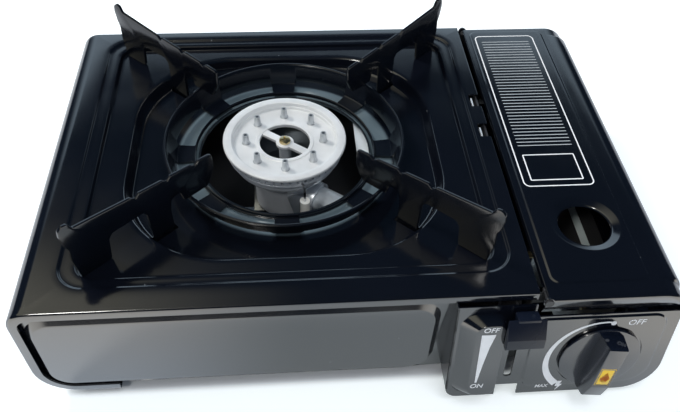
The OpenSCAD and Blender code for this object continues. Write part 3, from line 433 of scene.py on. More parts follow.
def mathIn(tree, kind, a, b=0.0):
    return nodeIn(tree, "ShaderNodeMath", {0: a, 1: b}, operation=kind).outputs[0]


def bothIn(tree, a, b):
    return mathIn(tree, "MULTIPLY", a, b)


def mixIn(tree, factor, a, b):
    a, b = ((*c, 1) if isinstance(c, tuple) else c for c in (a, b))
    return nodeIn(tree, "ShaderNodeMix", {0: factor, 6: a, 7: b}, data_type="RGBA").outputs[2]


def bumpIn(tree, height, depth, before=None):
    inputs = {"Strength": 1.0, "Distance": depth, "Height": height}
    return nodeIn(tree, "ShaderNodeBump", inputs | ({"Normal": before} if before else {})).outputs["Normal"]


def fromBurner(tree, place):
    centre = (-stove["burnerX"] / 1000, -stove["burnerY"] / 1000, 0)
    return nodeIn(tree, "ShaderNodeMapping", {"Vector": place, "Location": centre}).outputs["Vector"]


def makeFinish(name, s):
    # colour with slow drift and specks, roughness patches, waviness and grain
    finish, tree, shader, place = newFinish(name)
    slow = noiseIn(tree, place, s.get("driftScale", 9), 3)
    colour = mixIn(tree, rangeIn(tree, slow, 0, 1), s["colour"], s["second"])
    if "speck" in s:
        dots = nodeIn(tree, "ShaderNodeTexVoronoi", {"Vector": place, "Scale": s["speck"]["scale"]})
        size = s["speck"]["size"]
        spot = rangeIn(tree, dots.outputs["Distance"], 1, 0, size * 0.6, size)
        colour = mixIn(tree, spot, colour, s["speck"]["colour"])
    if "heat" in s:
        # painted sheen: round the burner, low down under the ring's slots, the paint is made paler to stand
        # in for light seen through them
        x, y, z = nodeIn(tree, "ShaderNodeSeparateXYZ", {0: fromBurner(tree, place)}).outputs
        flat = nodeIn(tree, "ShaderNodeCombineXYZ", {"X": x, "Y": y}).outputs[0]
        length = nodeIn(tree, "ShaderNodeVectorMath", {0: flat}, operation="LENGTH").outputs["Value"]
        sheenMask = bothIn(tree, bandIn(tree, length, *s["heatRadius"]), bandIn(tree, z, *s["heatHeight"]))
        colour = mixIn(tree, sheenMask, colour, s["heat"])
    patches = noiseIn(tree, place, s.get("patchScale", 22), 4)
    normal = bumpIn(tree, noiseIn(tree, place, s.get("waveScale", 35), 1), s.get("wave", 0.0))
    plug(tree, shader, {
        "Base Color": colour, "Roughness": rangeIn(tree, patches, *s["roughness"]),
        "Normal": bumpIn(tree, noiseIn(tree, place, s["grainScale"], 2), s["grain"], normal),
        "Metallic": s.get("metallic", 0), "IOR": s.get("ior", 1.5),
        "Coat Weight": s.get("coat", 0), "Coat Roughness": 0.05})
    finish.diffuse_color = (*s["colour"], 1)
    return finish


finishSettings = {
    "gloss_black_paint": {"colour": (0.0025, 0.0035, 0.006), "second": (0.004, 0.005, 0.009),
        "roughness": (0.1, 0.16), "wave": 0.00005, "waveScale": 28, "grain": 0.000004, "grainScale": 1500,
        "ior": 2.0, "speck": {"scale": 55, "size": 0.03, "colour": (0.12, 0.13, 0.14)}},
    "satin_black_enamel": {"colour": (0.003, 0.004, 0.007), "second": (0.004, 0.006, 0.01),
        "roughness": (0.14, 0.24), "wave": 0.00005, "waveScale": 60, "grain": 0.000008, "grainScale": 1300,
        "ior": 1.6},
    "satin_black_steel": {"colour": (0.02, 0.021, 0.024), "second": (0.03, 0.03, 0.032),
        "roughness": (0.38, 0.52), "grain": 0.00002, "grainScale": 1100},
    "zinc_steel": {"colour": (0.6, 0.62, 0.65), "second": (0.5, 0.52, 0.55), "metallic": 1,
        "roughness": (0.22, 0.4), "patchScale": 60, "grain": 0.00001, "grainScale": 1600, "driftScale": 45},
    "bright_aluminium": {"colour": (0.84, 0.89, 0.93), "second": (0.76, 0.82, 0.87), "metallic": 0.5,
        "roughness": (0.34, 0.46), "patchScale": 50, "grain": 0.000008, "grainScale": 1800, "driftScale": 30},
    "cast_zinc": {"colour": (0.55, 0.56, 0.58), "second": (0.47, 0.48, 0.5), "metallic": 1,
        "roughness": (0.42, 0.58), "patchScale": 90, "grain": 0.00006, "grainScale": 700},
    "brass": {"colour": (0.82, 0.69, 0.42), "second": (0.72, 0.58, 0.32), "metallic": 1,
        "roughness": (0.24, 0.38), "patchScale": 110, "grain": 0.000008, "grainScale": 1700},
    "black_rubber": {"colour": (0.022, 0.022, 0.023), "second": (0.03, 0.03, 0.031),
        "roughness": (0.72, 0.86), "grain": 0.00005, "grainScale": 800},
    "black_plastic": {"colour": (0.004, 0.006, 0.014), "second": (0.006, 0.009, 0.018),
        "roughness": (0.12, 0.2), "grain": 0.00001, "grainScale": 1200, "ior": 1.85},
    "yellow_plastic": {"colour": (0.95, 0.62, 0.02), "second": (0.9, 0.56, 0.015),
        "roughness": (0.22, 0.32), "grain": 0.000006, "grainScale": 1500, "driftScale": 200},
    "lead_sleeve": {"colour": (0.03, 0.03, 0.033), "second": (0.04, 0.04, 0.043),
        "roughness": (0.5, 0.62), "grain": 0.00002, "grainScale": 1500},
    "ceramic": {"colour": (0.8, 0.78, 0.72), "second": (0.74, 0.72, 0.66),
        "roughness": (0.12, 0.22), "grain": 0.00001, "grainScale": 900, "coat": 0.5},
}
finishOf = {name: makeFinish(name, s) for name, s in finishSettings.items()}
# painted sheen: the cover's paint with a paler band under the ring's slots
coverPaint = makeFinish("cover_paint", {**finishSettings["gloss_black_paint"], "heat": (0.1, 0.135, 0.155),
                                        "heatRadius": (0.068, 0.065), "heatHeight": (0.0722, 0.0708)})
leverPlastic = makeFinish("lever_plastic", {**finishSettings["black_plastic"], "ior": 1.4,
                                            "roughness": (0.22, 0.32)})


def burnerMetal(name, colour, roughness, lines, depth, metallic):
    # turned metal: fine rings round the burner's axis
    finish, tree, shader, place = newFinish(name)
    rings = nodeIn(tree, "ShaderNodeTexWave", {
        "Vector": fromBurner(tree, place), "Scale": lines, "Distortion": 0.6, "Detail": 2, "Detail Scale": 3},
        wave_type="RINGS", rings_direction="Z").outputs["Fac"]
    drift = rangeIn(tree, noiseIn(tree, place, 60, 3), 0, 1)
    grain = noiseIn(tree, place, 1500, 2)
    plug(tree, shader, {
        "Base Color": mixIn(tree, drift, tuple(c * 0.86 for c in colour), colour), "Metallic": metallic,
        "Roughness": rangeIn(tree, rings, *roughness, 0, 1),
        "Normal": bumpIn(tree, grain, depth * 0.7, bumpIn(tree, rings, depth))})
    finish.diffuse_color = (*colour, 1)
    return finish


turnedAluminium = burnerMetal("turned_aluminium", (0.93, 0.94, 0.94), (0.4, 0.54), 900, 0.000012, 0.45)
drawnAluminium = burnerMetal("drawn_aluminium", (0.84, 0.89, 0.95), (0.24, 0.36), 260, 0.000004, 0.45)
# painted shade: the posts get a darker copy of the head's turned aluminium
shadedPostAluminium = burnerMetal("post_aluminium", (0.62, 0.65, 0.68), (0.34, 0.46), 500, 0.000004, 0.7)
# painted shade: a dark copy of the aluminium for the inside of the cup and the post bores
shadeDarkAluminium = burnerMetal("baked_aluminium", (0.1, 0.12, 0.14), (0.36, 0.5), 300, 0.000006, 0.6)


def inkFinish(name, *colour):
    return makeFinish(name, {"colour": colour, "second": tuple(c * 0.93 for c in colour), "driftScale": 120,
                             "roughness": (0.5, 0.62), "grain": 0.000004, "grainScale": 2200})


whiteInk = inkFinish("white_ink", 0.9, 0.91, 0.92)
greyInk = inkFinish("grey_ink", 0.5, 0.53, 0.55)
orangeInk = inkFinish("orange_ink", 0.8, 0.2, 0.02)
# painted light: the guide rail is a real part, and its pale teal paint stands in for the bright bar seen
# through the lid's window
litRailPaint = inkFinish("rail_paint", 0.78, 0.88, 0.88)


def dress(piece, body, slot, finish=None, nodes=()):
    # gives a new piece its finish, its body and the nodes that it stands for
    if not piece.data.materials:
        paint(piece, finish or finishOf[slot])
    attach(piece, body)
    if nodes:
        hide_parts(*nodes)
    return piece


# every node carried over gets the finish of its slot, and the pins the paint of what holds them
for part in frame["record"]["subparts"]:
    node = nodeOf[part["node"]]
    finish = finishOf["satin_black_steel" if part["node"] == "hinge_pins" else part["material_slot"]]
    if not node.material_slots:
        paint(node, finish)
    for slot in node.material_slots:
        slot.material = finish
print("finishes: done")

# camera, in millimetres, with its directions in the frame

cameraView = {"place": (-30.8, near - 204.7, 378.8), "look": (0.0664, 0.6708, -0.7387),
              "right": (0.9972, -0.0705, 0.0256), "lens": 37.9}
camera = link("camera", bpy.data.cameras.new("camera"))
look = Vector(cameraView["look"]).normalized()
right = Vector(cameraView["right"])
right = (right - look * right.dot(look)).normalized()
turn = Matrix((right, right.cross(look), -look)).transposed().to_4x4()
camera.matrix_world = Matrix.Translation(Vector(cameraView["place"]) / 1000) @ turn
camera.data.sensor_width = 36
camera.data.lens = cameraView["lens"]
camera.data.clip_start = 0.01
scene.camera = camera
scene.view_settings.view_transform = "Standard"

# what the floor shows to the camera and to polished surfaces, with painted shade and a painted shadow in it;
# places in metres
floorLook = {
    "camera": (0.93, 1.0, 1.0), "cameraLevel": 0.5, "far": (1.0, 0.92, 0.78), "close": (0.7, 0.84, 1.0),
    "front": ((near - 80) / 1000, (near + 10) / 1000), "dull": (0.2, 0.24, 0.24), "middle": 0.038,
    "dim": (0.06, 0.185), "side": (0.03, 0.045, 0.07), "besideX": (0.17, 0.2),
    "besideY": ((near - 30) / 1000, (near + 10) / 1000), "underX": (0.168, 0.15),
    "underNear": ((near - 2) / 1000, (near + 4) / 1000), "underFar": ((far - 2) / 1000, (far - 16) / 1000),
}


def paleFinish(name, colour, s):
    # a floor that looks white to the camera and in reflections, with painted shade and a painted shadow in
    # its emission, and whose diffuse part still takes the lamps' shadows
    finish, tree, shader, place = newFinish(name)
    path = nodeIn(tree, "ShaderNodeLightPath").outputs
    mirrored = mathIn(tree, "MAXIMUM", path["Is Glossy Ray"], path["Is Transmission Ray"])
    x, y, z = nodeIn(tree, "ShaderNodeSeparateXYZ", {0: place}).outputs
    # painted shade in front of the stove: greyer and bluer close by, and dimmer in the middle than towards
    # the ends, standing in for the stove's shadow on the floor
    seen = mixIn(tree, bandIn(tree, y, *s["front"]), s["far"], s["close"])
    off = mathIn(tree, "ABSOLUTE", mathIn(tree, "SUBTRACT", x, s["middle"]))
    seen = mixIn(tree, bandIn(tree, off, *s["dim"]), s["dull"], seen)
    # painted shade beside the stove, dark in reflections, and a painted shadow under it, where the floor
    # gives no light
    wide = mathIn(tree, "ABSOLUTE", x)
    beside = bothIn(tree, bandIn(tree, wide, *s["besideX"]), bandIn(tree, y, *s["besideY"]))
    seen = mixIn(tree, beside, seen, s["side"])
    along = bothIn(tree, bandIn(tree, y, *s["underNear"]), bandIn(tree, y, *s["underFar"]))
    under = bothIn(tree, bandIn(tree, wide, *s["underX"]), along)
    camera = bothIn(tree, path["Is Camera Ray"], s["cameraLevel"])
    plug(tree, shader, {
        "Base Color": (*colour, 1), "Roughness": 0.9,
        "Emission Color": mixIn(tree, under, mixIn(tree, mirrored, s["camera"], seen), (0.0, 0.0, 0.0)),
        "Emission Strength": mathIn(tree, "MAXIMUM", camera, mirrored)})
    return finish


floorMesh = bpy.data.meshes.new("floor")
floorMesh.from_pydata([(-3, -3, 0), (3, -3, 0), (3, 3, 0), (-3, 3, 0)], [], [(0, 1, 2, 3)])
floor = paint(link("floor", floorMesh), paleFinish("floor_white", (0.78, 0.8, 0.82), floorLook))

# a white backdrop low down all round and a dark room above it, as polished surfaces show them;
# each pair of numbers is a range of the ray's direction over which one part of the room fades into another
sky = {"fill": (0.32, 0.36, 0.42), "low": (0.66, 0.84, 1.0), "high": (0.004, 0.012, 0.022),
       "left": (0.62, 0.6, 0.48), "dark": (0.01, 0.02, 0.035), "edge": (0.556, 0.574),
       "leftX": (0.05, -0.4), "leftY": (0.66, 0.52), "lowX": (0.6, 0.35), "lowY": (0.1, 0.4),
       "lowLeft": (-0.65, -0.35)}


def makeWorld(s):
    world = bpy.data.worlds.new("world")
    world.use_nodes = True
    tree = world.node_tree
    rays = nodeIn(tree, "ShaderNodeLightPath").outputs
    way = nodeIn(tree, "ShaderNodeTexCoord").outputs["Generated"]
    x, y, z = nodeIn(tree, "ShaderNodeSeparateXYZ", {0: way}).outputs
    warm = bothIn(tree, bandIn(tree, x, *s["leftX"]), bandIn(tree, y, *s["leftY"]))
    upper = mixIn(tree, warm, s["high"], s["left"])
    pale = bothIn(tree, bandIn(tree, x, *s["lowX"]), bandIn(tree, y, *s["lowY"]))
    pale = bothIn(tree, pale, bandIn(tree, x, *s["lowLeft"]))
    lower = mixIn(tree, pale, s["dark"], s["low"])
    room = mixIn(tree, bandIn(tree, z, *s["edge"]), lower, upper)
    seen = mixIn(tree, rays["Is Glossy Ray"], s["fill"], room)
    seen = mixIn(tree, rays["Is Camera Ray"], seen, (1.0, 1.0, 1.0))
    plug(tree, tree.nodes["Background"], {"Color": seen, "Strength": 1.0})
    return world


scene.world = makeWorld(sky)


def lamp(name, place, aim, size, power, colour, mirrored=False):
    light = bpy.data.lights.new(name, "AREA")
    light.size = size
    light.energy = power
    light.color = colour
    holder = link(name, light)
    holder.location = place
    holder.rotation_euler = (Vector(aim) - Vector(place)).to_track_quat("-Z", "Y").to_euler()
    holder.visible_glossy = mirrored


lamp("key", (-0.85, 0.6, 1.2), (-0.05, 0.0, 0.05), 0.3, 15, (1.0, 0.98, 0.95))
lamp("ceiling", (0.25, -0.35, 1.5), (0, 0, 0), 0.6, 7, (0.95, 0.98, 1.0))
lamp("glint", (-0.6, -0.9, 1.3), (-0.03, 0, 0.05), 0.2, 5, (1.0, 0.98, 0.94), True)
print("camera and lamps: done")

# top cover

cover = {
    "upperCorner": 12.0, "lipHeight": 4.0,
    "bead": (-153.5, 85.5, near + 14, far - 9), "beadCorner": 16.0, "beadDrop": 1.2,
    "step": (-145.5, 77.5, near + 20.75, far - 15.75), "stepCorner": 12.0, "stepDrop": 4.0,
    "dish": (-128.0, 60.0, near + 33, far - 28), "dishCorner": 62.0, "dishDrop": 12.0,
    "wellRadius": 52.0, "collarHeight": 2.0,
    "notches": (near + 125, near + 154), "notchSize": (7.0, 12.0),
    "legSlot": (84.0, 100.5, 4.0),
}


def insetLoop(box, corner, t, z):
    return atHeight(cornerLoop(*inset(box, t), corner - t), z)


def foldRows(outline, edge, way, radius, rim=None, steps=5):
    # rows that roll an edge over and may end in a rim; outline holds (x, z, nx, nz), edge gives y at a height
    turns = [(radius * (1 - math.cos(a)), radius * (1 - math.sin(a))) for a in spread(0, math.pi / 2, steps)]
    if rim:
        turns.append((rim, 0))
    return [[(x - nx * t, edge(z - nz * t) + way * back, z - nz * t) for x, z, nx, nz in outline]
            for t, back in turns]


def arcOutline(cx, cz, r, start, end, steps=8):
    arc = []
    for angle in spread(start, end, steps):
        a = math.radians(angle)
        arc.append((cx + r * math.cos(a), cz + r * math.sin(a), math.cos(a), math.sin(a)))
    return arc


def sideOutline(side, top, upper):
    # from the top sheet down the side and under the stove; side is -1 or 1
    edge, low, r = stove["right"], stove["foot"], stove["lowCorner"]
    path = arcOutline(edge - upper, top - upper, upper, 90, 0) if upper else [(edge, top, 1, 0)]
    path += [(edge, z, 1, 0) for z in spread(top - upper, low + r, 6)[1:]]
    path += arcOutline(edge - r, low + r, r, 0, -90)[1:]
    path += [(x, low, 0, -1) for x in spread(edge - r, edge - stove["returnWidth"], 3)[1:]]
    return [(side * x, z, side * nx, nz) for x, z, nx, nz in path]


def snip(piece, x1, x2, y1, y2, low):
    # opens a rectangle in an open sheet, down to a level
    shape = bmesh.new()
    shape.from_mesh(piece.data)

    def inside(face, margin):
        c = face.calc_center_median() * 1000
        return x1 - margin < c.x < x2 + margin and y1 - margin < c.y < y2 + margin and c.z > low
    for point, normal in (((x1, 0, 0), (1, 0, 0)), ((0, y1, 0), (0, 1, 0)), ((0, y2, 0), (0, 1, 0))):
        found = [f for f in shape.faces if inside(f, 30)]
        around = found + list({e for f in found for e in f.edges}) + list({v for f in found for v in f.verts})
        bmesh.ops.bisect_plane(shape, geom=around, plane_co=Vector(point) / 1000, plane_no=normal)
    bmesh.ops.delete(shape, geom=[f for f in shape.faces if inside(f, 0)], context="FACES")
    shape.to_mesh(piece.data)
    shape.free()


def makeTopCover(s):
    points, faces = [], []
    top = stove["top"]
    level = [top, top - s["beadDrop"], top - s["stepDrop"], top - s["dishDrop"]]
    fold = stove["foldRadius"]
    x1, x2 = stove["left"] + s["upperCorner"], stove["coverRight"] - 1.0
    outer = frameLoop(x1, x2, near + fold, far - fold, cornerLoop(*s["bead"], s["beadCorner"]))
    loops = [atHeight(outer, top)]
    # bead, step and dish, each a slope with rounded edges, drawn as (distance inwards, height)
    for name, path, radii, steps in (
            ("bead", [(-3, level[0]), (1.0, level[0]), (1.7, level[1]), (4.5, level[1])], 1.3, 5),
            ("step", [(-2, level[1]), (1.0, level[1]), (1.6, level[2]), (4, level[2])], [0.9, 1.1], 5),
            ("dish", [(-3, level[2]), (0.8, level[2]), (3.4, level[3]), (8, level[3])], [2.2, 2.8], 7)):
        for t, z in rounded(path, radii, steps):
            loops.append(insetLoop(s[name], s[name + "Corner"], t, z))
    wall, last = s["wellRadius"] + stove["sheet"], loops[-1]
    collar = [(wall + 4, level[3]), (wall, level[3]), (wall, level[3] + s["collarHeight"])]
    bx, by = stove["burnerX"], stove["burnerY"]
    turns = [math.atan2(y - by, x - bx) for x, y, _ in last]
    for r, z in rounded(collar, 1.0):
        loops.append([(bx + r * math.cos(a), by + r * math.sin(a), z) for a in turns])
    addStrip(points, faces, loops, closed=True)

    # edges: the rolled front and back, the lip beside the lid, the side that wraps under
    wrap = sideOutline(-1, top, s["upperCorner"])
    corner = [(x2 + 0.9, top, 0, 1)]
    for side, edge, way in ((sideOf(outer, 0), near, 1), (sideOf(outer, 2)[::-1], far, -1)):
        outline = wrap[::-1] + [(x, top, 0, 1) for x, y in side[1:]] + corner
        addStrip(points, faces, foldRows(outline, lambda z: edge, way, fold, stove["rimWidth"]))
    lip = rounded([(x2, top), (x2 + 1, top), (x2 + 1, top - s["lipHeight"])], 0.9)
    addStrip(points, faces, [[(x, y, z) for _, y in sideOf(outer, 1)] for x, z in lip])
    addStrip(points, faces, [[(x, y, z) for _, y in sideOf(outer, 3)] for x, z, nx, nz in wrap])
    piece = meshPiece("topCover", points, faces, outward=(0, 0, 1))
    right, (depth, width) = stove["coverRight"], s["notchSize"]
    for y in s["notches"]:
        snip(piece, right - depth, right + 2, y - width / 2, y + width / 2, top - 6)
    piece = thicken(piece)

    # ways through the dish for the legs of the arms
    r1, r2, width = s["legSlot"]
    for angle in armAngles.values():
        tool = boxPiece("legTool", r1, r2, -width / 2, width / 2, top - 22, top - 6)
        piece = cut(piece, toBurner(tool, 0, turnBy(angle)))
    return piece


dress(makeTopCover(cover), "casing", "gloss_black_paint", coverPaint, ("top_cover",))
print("top cover: done")

# right side under the lid

sideWall = {"topHeight": 51.0, "foldBack": 8.0}


def makeSideWall(s):
    points, faces = [], []
    fold, rim = stove["foldRadius"], stove["rimWidth"]
    path = sideOutline(1, s["topHeight"], 0)
    ys = spread(near + s["foldBack"], far - fold, 24)
    addStrip(points, faces, [[(x, frontAt(z) + fold, z)] + [(x, y, z) for y in ys] for x, z, nx, nz in path])
    addStrip(points, faces, foldRows(path, frontAt, 1, fold, rim))
    addStrip(points, faces, foldRows(path, lambda z: far, -1, fold, rim))
    return sheetPiece("sideWall", points, faces, (1, 0, 0))


dress(makeSideWall(sideWall), "casing", "gloss_black_paint", nodes=("side_casing",))
print("side casing: done")

# lid

lid = {
    "left": 97.5, "right": 175.0, "near": near - 4, "far": far - 1.2, "roll": 13.0, "endRoll": 17.0,
    "endLength": 11.0, "ramp": 1.2, "flange": 15.6, "turnIn": 3.0, "sideHeight": 30.0, "fold": 2.6,
    "borderDrop": 0.7, "lip": 4.0, "field": (101.8, 154.0, near + 6.1, far - 6.5), "fieldCorner": 5.0,
    "window": (131.5, near + 46), "windowRadius": 14.5, "windowRim": 19.5, "windowDrop": 1.8,
    "eye": (98.0, 79.0), "eyeRadii": (1.25, 2.9), "eyeHalf": 0.48,
}


def lidEnd(s, outline, y0, way):
    # rolls an end over and turns the foot of its flange in
    rows = foldRows(outline, lambda z: y0, way, s["fold"], steps=6)
    low = stove["top"] - s["flange"]
    return rows + [[(x, y + way * s["turnIn"] if z > low else y, min(z, low)) for x, y, z in rows[-1]]]


def lidTop(s):
    points, faces = [], []
    top, edge = stove["top"], stove["top"] - s["borderDrop"]
    x1, x2 = s["left"] + 1.0, s["right"] - s["endRoll"]
    field = cornerLoop(*s["field"], s["fieldCorner"])
    outer = frameLoop(x1, x2, s["near"] + s["fold"], s["far"] - s["fold"], field)
    rise = rounded([(-1.4, edge), (-0.5, edge), (0.5, top), (2.4, top)], 0.8, 4)
    addTray(points, faces, [atHeight(outer, edge)] + [insetLoop(s["field"], s["fieldCorner"], t, z)
                                                      for t, z in rise])
    lip = rounded([(x1, edge), (x1 - 1, edge), (x1 - 1, top - s["lip"])], 0.9)
    addStrip(points, faces, [[(x, y, z) for _, y in sideOf(outer, 3)] for x, z in lip])
    for side, y0, way in ((sideOf(outer, 0), s["near"], 1), (sideOf(outer, 2)[::-1], s["far"], -1)):
        outline = [(x, edge, 0, 1) for x, y in [(x1 - 0.9, 0)] + side]
        addStrip(points, faces, lidEnd(s, outline, y0, way))
    piece = sheetPiece("lidTop", points, faces, (0, 0, 1))
    tool = drum("windowTool", s["windowRim"] + 1.6, top - 8, top + 4, 72)
    return cut(piece, moved(tool, *s["window"]))


def lidRoll(s):
    # the rolled side, a little fuller at its two ends
    points, faces = [], []
    edge, right = stove["top"] - s["borderDrop"], s["right"]

    def outline(r):
        wall = [(right, z, 1, 0) for z in spread(edge - r, stove["top"] - s["sideHeight"], 4)[1:]]
        return [(right - s["endRoll"], edge, 0, 1)] + arcOutline(right - r, edge - r, r, 90, 0, 12) + wall
    first, last = s["near"] + s["endLength"], s["far"] - s["endLength"]
    ramp = s["ramp"]
    stations = [(s["near"] + s["fold"], 0)]
    stations += [(y, i / 6) for i, y in enumerate(spread(first - ramp, first + ramp, 6))]
    stations += [(y, 1) for y in spread(first + ramp, last - ramp, 20)[1:-1]]
    stations += [(y, 1 - i / 6) for i, y in enumerate(spread(last - ramp, last + ramp, 6))]
    stations += [(s["far"] - s["fold"], 0)]
    rows = []
    for y, t in stations:
        r = s["endRoll"] + (s["roll"] - s["endRoll"]) * t * t * (3 - 2 * t)
        rows.append([(x, y, z) for x, z, nx, nz in outline(r)])
    addStrip(points, faces, rows)
    for y0, way in ((s["near"], 1), (s["far"], -1)):
        addStrip(points, faces, lidEnd(s, outline(s["endRoll"]), y0, way))
    return sheetPiece("lidRoll", points, faces, (1, 0, 0))


def lidWindow(s):
    # the dished rim of the window
    top, r1, r2 = stove["top"], s["windowRadius"], s["windowRim"]
    rim = rounded([(r2 + 1.62, top), (r2, top), (r1 + 0.6, top - s["windowDrop"]),
                   (r1, top - s["windowDrop"] - 1.0)], [2.2, 1.6], 6)
    under = [(r + (0.25 if i else 0.0), z - 0.98) for i, (r, z) in enumerate(rim[:-1])]
    return moved(turned("windowRing", rim + under[::-1]), *s["window"])


def lidEye(s, y):
    (x, z), (r1, r2), half = s["eye"], s["eyeRadii"], s["eyeHalf"]
    eye = turned("lidEye", rounded([(r1, -half), (r2, -half), (r2, half), (r1, half)], 0.15, 2), 32)
    return moved(eye, x, y, z, turnBy(90, "X"))


lidShell = joined("lidShell", [lidTop(lid), lidRoll(lid), lidWindow(lid), lidEye(lid, lid["near"] + 0.5),
                               lidEye(lid, lid["far"] - 0.5)])
dress(lidShell, "lid", "gloss_black_paint", nodes=("lid",))
print("lid: done")

# front panel

frontPanel = {"right": 51.9, "low": 10.5, "depth": 3.2, "fieldDepth": 0.4, "corners": [17.0, 0.5, 0.5, 10.9],
              "field": (-166.0, 43.0, 13.5, 72.4), "fieldCorner": 12.0, "inset": 1.1, "fillet": 0.8,
              "topSlope": 2.0, "topRaise": 0.6}


def makeFrontPanel(s):
    # a flat upright sheet with a raised field; loops are drawn in x and z
    points, faces = [], []
    left, top = stove["left"] + s["inset"], stove["top"] - s["inset"]
    outline = cornerLoop(left, s["right"], s["low"], top, s["corners"])
    loops = [[(x, near + s["depth"], z) for x, z in outline]]
    path = [(-3.4, s["depth"]), (-2.4, s["depth"]), (0.4, s["fieldDepth"]), (3.4, s["fieldDepth"])]
    for t, d in rounded(path, s["fillet"]):
        # the slope at the top is broader than at the sides
        x1, x2, z1, z2 = inset(s["field"], t)
        z2 += s["topRaise"] - s["topSlope"] * min(max((t + 2.4) / 2.8, 0), 1)
        loop = cornerLoop(x1, x2, z1, z2, max(s["fieldCorner"] - t, 0.5))
        loops.append([(x, near + d, z) for x, z in loop])
    addTray(points, faces, loops)
    return sheetPiece("frontPanel", points, faces, (0, -1, 0))


dress(makeFrontPanel(frontPanel), "casing", "gloss_black_paint", nodes=("front_panel",))
print("front panel: done")

# control panel

controls = {
    "left": 52.0, "right": 174.0, "low": 4.5, "top": 75.0, "corners": [7.0, 20.9, 1.0, 1.0], "depth": -1.1,
    "lidSideTop": 66.0, "notch": (80.5, 93.5, 13.0), "field": (95.0, 167.0, 11.3, 64.5),
    "fieldCorners": [6.0, 14.0, 8.0, 6.0], "fieldDepth": -2.1,
    "ridgeBase": (54.5, 80.5, -75.0, -12.5), "ridgeTop": (62.2, 77.4, -70.0, -14.6), "ridgeHeight": 6.9,
    "ridgeCorners": (9.0, 5.5), "slot": (83.6, 88.0, -63.0, -14.0), "slotCorner": 1.6,
    "knobCentre": (135.0, -48.741), "boreRadius": 4.5, "groove": (22.55, 23.7, 1.5), "flank": (11.0, 3.6),
}


def controlSheet(s):
    points, faces = [], []
    outline = cornerLoop(s["left"], s["right"], s["low"], s["top"], s["corners"])
    loops = [[(x, frontAt(z, s["depth"]), z) for x, z in outline]]
    path = [(-1.6, s["depth"]), (-0.5, s["depth"]), (0.3, s["fieldDepth"]), (2.0, s["fieldDepth"])]
    for t, d in rounded(path, 0.5, 4):
        loop = cornerLoop(*inset(s["field"], t), [max(r - t, 0.5) for r in s["fieldCorners"]])
        loops.append([(x, frontAt(z, d), z) for x, z in loop])
    addTray(points, faces, loops)
    return sheetPiece("controlSheet", points, faces, (0, -1, 0))


def controlRidge(s):
    # blended from its base outline to its flat top
    points, faces, loops = [], [], []
    for k, h in rounded([(0.0, -0.3), (0.0, 0.0), (1.0, 1.0), (1.35, 1.0)], [0.05, 0.22], 7):
        t, extra = min(k, 1.0), max(k - 1.0, 0) * 8
        box = inset(between(s["ridgeBase"], s["ridgeTop"], t), extra)
        r = s["ridgeCorners"][0] + (s["ridgeCorners"][1] - s["ridgeCorners"][0]) * t
        loops.append([onFace(x, z, s["depth"] - h * s["ridgeHeight"])
                      for x, z in cornerLoop(*box, max(r - extra, 1.0))])
    addTray(points, faces, loops)
    return sheetPiece("ridge", points, faces, (0, -1, 0), 0.9)


def makeControlPanel(s):
    slot = cornerLoop(*s["slot"], s["slotCorner"])
    panel = cut(controlSheet(s), prism("slotTool", slot, -6, 14, onFace))
    r1, r2, z = s["groove"]
    groove = turned("grooveTool", [(r1, z), (r2, z), (r2, z + 4), (r1, z + 4)], 128)
    for tool in (drum("boreTool", s["boreRadius"], -6, 6, 128), groove):
        panel = cut(panel, moved(tool, turn=frontMatrix(*s["knobCentre"])))
    x1, x2, z = s["notch"]
    panel = cut(panel, boxPiece("notchTool", x1, x2, near - 60, near + 20, 0, z))
    panel = cut(panel, boxPiece("lidTool", x2 + 0.5, 200, near - 60, near + 20, s["lidSideTop"], 90))
    low, back = s["flank"]
    flank = [(frontAt(z, s["depth"]), z) for z in (low, s["top"])]
    flank += [(near + back, s["top"]), (near + back, low)]
    side = prism("panelSide", flank, s["left"], s["left"] + 1, lambda y, z, x: (x, y, z))
    return joined("controlPanel", [panel, controlRidge(s), side])


dress(makeControlPanel(controls), "casing", "gloss_black_paint", nodes=("control_panel",))
print("control panel: done")

# repeats: one tree each for rings, rows and free points

treeInputs = {
    "all": [("Geometry", "Geometry"), ("Item", "Object"), ("Finish", "Material"), ("Seed", "Int"),
            ("Random Turn", "Float")],
    "circle": [("Count", "Int"), ("Radius", "Float"), ("Start", "Float")],
    "row": [("Count", "Int"), ("First", "Vector"), ("Step", "Vector")],
    "points": [],
}


